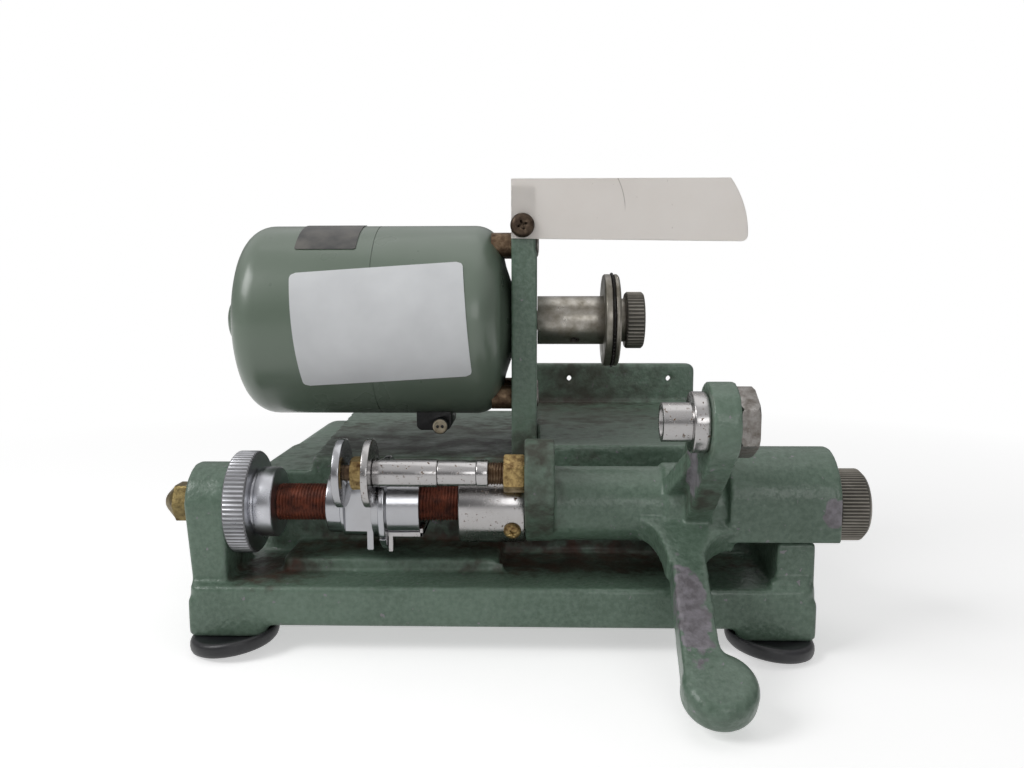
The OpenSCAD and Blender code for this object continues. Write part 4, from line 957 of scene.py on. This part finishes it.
def make_cord_end():
    """The cut-off cord: its pale sheath's rim and two dark cores showing in the cut."""
    lo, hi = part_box("cord_stub")
    middle = Vector(((lo.x + hi.x) / 2, lo.y, (lo.z + hi.z) / 2))
    sheath = [(-3, 0.1), (-3, 3.4), (0.1, 3.7), (0.6, 3.5), (0.8, 2.9), (0.25, 2.5), (0.25, 0.1)]
    pieces = [("cord_sheath", sheath, 0, CORD_SHEATH)]
    core = [(-3, 0.1), (-3, 0.8), (0.45, 0.8), (0.6, 0.6), (0.6, 0.1)]
    pieces += [("cord_core_%d" % k, core, 1.2 * (2 * k - 1), BLACK) for k in (0, 1)]
    for name, profile, shift, material in pieces:
        piece = to_object(name, lathe_x([(x * MM, r * MM) for x, r in profile], Vector((0, 0, 0)), 40))
        place = middle + Vector((shift * MM, 0, 0))
        moved(piece, Matrix.Translation(place) @ Matrix.Rotation(-math.pi / 2, 4, "Z"))
        dress(piece, "base", material, "black_plastic")


def make_machined():
    """Every turned or milled node, with broken edges."""
    finish = {
        "feed_wheel": WHEEL_CHROME, "left_collar": CHROME, "stop_flange": CHROME, "traverse_nut": CHROME,
        "guide_sleeve": CHROME_PITTED, "guide_disc_outer": CHROME, "guide_disc_inner": CHROME_PITTED,
        "long_spacer": CHROME_PITTED, "short_spacer": CHROME_PITTED,
        "rod_ring": CHROME_PITTED, "key_holder_sleeve": CHROME_PITTED,
        "rod_lock_nut": BRASS_SPECKLED, "holder_nut": NUT_METAL, "end_knob": KNOB_KNURL, "spindle_hub": STEEL,
        "inner_flange": STEEL_DARK, "outer_flange": STEEL_DARK, "clamp_nut": NUT_KNURL,
        "rear_bearing_cap": PAINT_MOTOR, "cord_grommet": BLACK, "cord_stub": BLACK}
    for node, material in finish.items():
        machined(node, material)


def finish_hidden_nodes():
    """CAD nodes that stay as they are get a real finish too."""
    finish = {
        "motor_stator": STEEL_DARK, "motor_windings": COPPER, "motor_rotor": STEEL_DARK,
        "front_bearing": STEEL, "rear_bearing": STEEL,
        "spindle_shaft": STEEL, "foot_screws": STEEL, "bracket_bolts": STEEL}
    for node, material in finish.items():
        mesh = frame["nodes"][node].data
        mesh.materials.clear()
        mesh.materials.append(material)


# ---------------------------------------------------------------- stage, light and camera

FADE_START, FADE_END, FLOOR_LIFT = 0.28, 0.75, 0.5
FLOOR_GREY = (0.86, 0.86, 0.86, 1)


def stage_material():
    """A pale floor that keeps the shadow; away from the object it is white to the camera."""
    mat = bpy.data.materials.new("stage_floor")
    mat.use_nodes = True
    tree = mat.node_tree
    tree.nodes.clear()

    def node(kind, inputs=(), **settings):
        made = tree.nodes.new(kind)
        for key, value in settings.items():
            setattr(made, key, value)
        for socket, value in dict(inputs).items():
            if isinstance(value, bpy.types.NodeSocket):
                tree.links.new(value, made.inputs[socket])
            else:
                made.inputs[socket].default_value = value
        return made

    path = node("ShaderNodeLightPath").outputs
    seen = node("ShaderNodeMath", {0: path["Is Camera Ray"], 1: path["Is Glossy Ray"]},
                operation="MAXIMUM").outputs[0]
    seen = node("ShaderNodeMath", {0: seen, 1: path["Is Transmission Ray"]}, operation="MAXIMUM").outputs[0]
    place = node("ShaderNodeTexCoord").outputs["Object"]
    away = node("ShaderNodeVectorMath", {0: place}, operation="LENGTH").outputs["Value"]
    far = node("ShaderNodeMapRange", {"Value": away, "From Min": FADE_START, "From Max": FADE_END}).outputs[0]
    floor = node("ShaderNodeBsdfDiffuse", {"Color": FLOOR_GREY}).outputs[0]
    lift = node("ShaderNodeMath", {0: seen, 1: FLOOR_LIFT}, operation="MULTIPLY").outputs[0]
    glow = node("ShaderNodeEmission", {"Color": (1, 1, 1, 1), "Strength": lift}).outputs[0]
    near = node("ShaderNodeAddShader", {0: floor, 1: glow}).outputs[0]
    white = node("ShaderNodeEmission", {"Color": (1, 1, 1, 1), "Strength": 1.0}).outputs[0]
    fade = node("ShaderNodeMath", {0: far, 1: seen}, operation="MULTIPLY").outputs[0]
    surface = node("ShaderNodeMixShader", {0: fade, 1: near, 2: white}).outputs[0]
    output = node("ShaderNodeOutputMaterial")
    tree.links.new(surface, output.inputs[0])
    return mat


def make_stage():
    """The floor under the machine."""
    bm = bmesh.new()
    bmesh.ops.create_grid(bm, x_segments=4, y_segments=4, size=4.0)
    floor = to_object("floor", bm)
    floor.data.materials.append(stage_material())


WORLD_LEVEL = 0.2
MIRRORED_SKY = ((0.08, 0.20), (0.30, 0.26), (0.55, 0.75))  # height in the sky and grey level


def make_world():
    """A soft even light; reflections see a graded sky, the camera sees white."""
    world = bpy.data.worlds.new("world")
    bpy.context.scene.world = world
    world.use_nodes = True
    tree = world.node_tree
    tree.nodes.clear()
    output = tree.nodes.new("ShaderNodeOutputWorld")
    path = tree.nodes.new("ShaderNodeLightPath")
    direction = tree.nodes.new("ShaderNodeTexCoord")
    split = tree.nodes.new("ShaderNodeSeparateXYZ")
    tree.links.new(direction.outputs["Generated"], split.inputs[0])
    height = tree.nodes.new("ShaderNodeValToRGB")
    stops = height.color_ramp.elements
    stops[0].position, stops[0].color = 0.0, (0.42, 0.42, 0.42, 1)
    stops[1].position, stops[1].color = 1.0, (0.95, 0.95, 0.95, 1)
    for place, level in MIRRORED_SKY:
        stop = stops.new(place)
        stop.color = (level, level, level * 1.01, 1)
    tree.links.new(split.outputs[2], height.inputs[0])
    ambient = tree.nodes.new("ShaderNodeBackground")
    ambient.inputs["Strength"].default_value = WORLD_LEVEL
    ambient.inputs["Color"].default_value = (1, 1, 1, 1)
    mirrored = tree.nodes.new("ShaderNodeBackground")
    tree.links.new(height.outputs[0], mirrored.inputs["Color"])
    white = tree.nodes.new("ShaderNodeBackground")
    white.inputs["Color"].default_value = (1, 1, 1, 1)
    seen = tree.nodes.new("ShaderNodeMath")
    seen.operation = "MAXIMUM"
    tree.links.new(path.outputs["Is Camera Ray"], seen.inputs[0])
    tree.links.new(path.outputs["Is Transmission Ray"], seen.inputs[1])
    first = tree.nodes.new("ShaderNodeMixShader")
    tree.links.new(path.outputs["Is Glossy Ray"], first.inputs[0])
    tree.links.new(ambient.outputs[0], first.inputs[1])
    tree.links.new(mirrored.outputs[0], first.inputs[2])
    second = tree.nodes.new("ShaderNodeMixShader")
    tree.links.new(seen.outputs[0], second.inputs[0])
    tree.links.new(first.outputs[0], second.inputs[1])
    tree.links.new(white.outputs[0], second.inputs[2])
    tree.links.new(second.outputs[0], output.inputs[0])


def area_light(name, place, target, size, power):
    """A rectangular lamp that faces its target."""
    lamp = bpy.data.lights.new(name, "AREA")
    lamp.shape = "RECTANGLE"
    lamp.size, lamp.size_y = size
    lamp.energy = power
    obj = bpy.data.objects.new(name, lamp)
    bpy.context.scene.collection.objects.link(obj)
    obj.location = place
    obj.rotation_euler = (Vector(target) - Vector(place)).to_track_quat("-Z", "Y").to_euler()


def make_lights():
    """A key lamp from the left, a broad one overhead and a weak one in front."""
    area_light("key", (-1.1, -0.62, 1.05), (-0.02, -0.02, 0.1), (0.7, 0.7), 10.5)
    area_light("top", (0.1, 0.1, 1.5), (0.0, 0.0, 0.1), (1.4, 1.0), 3.0)
    area_light("front", (0.4, -1.6, 0.55), (0.0, 0.0, 0.1), (0.8, 0.5), 4)


CAMERA_PLACE = Vector((10.73, -441.8, 167.9)) * MM
CAMERA_PITCH, CAMERA_YAW, CAMERA_ROLL = 6.71, 1.45, -0.09
FOCAL_PIXELS, FRAME_PIXELS = 859.0, 1024.0


def make_camera():
    """The photograph's viewpoint, from a fit to it."""
    camera = bpy.data.cameras.new("camera")
    camera.sensor_width = 36.0
    camera.lens = FOCAL_PIXELS * camera.sensor_width / FRAME_PIXELS
    camera.clip_start = 0.01
    obj = bpy.data.objects.new("camera", camera)
    bpy.context.scene.collection.objects.link(obj)
    obj.matrix_world = (
        Matrix.Translation(CAMERA_PLACE)
        @ Matrix.Rotation(math.radians(CAMERA_YAW), 4, "Z")
        @ Matrix.Rotation(math.radians(90 - CAMERA_PITCH), 4, "X")
        @ Matrix.Rotation(math.radians(CAMERA_ROLL), 4, "Z"))
    bpy.context.scene.camera = obj


make_castings()
make_feed_screw()
make_tracer_rod()
for foot, lean in FEET:
    make_foot(foot, lean)
make_screw_heads()
make_set_screw()
make_cutter()
make_labels()
make_motor_shell()
make_motor_seam()
make_hex_nuts()
make_motor_screws()
make_spacers()
make_key_plate()
make_shield()
make_cord_end()
make_machined()
finish_hidden_nodes()
make_stage()
make_world()
make_lights()
make_camera()
bpy.context.scene.view_settings.view_transform = "Standard"
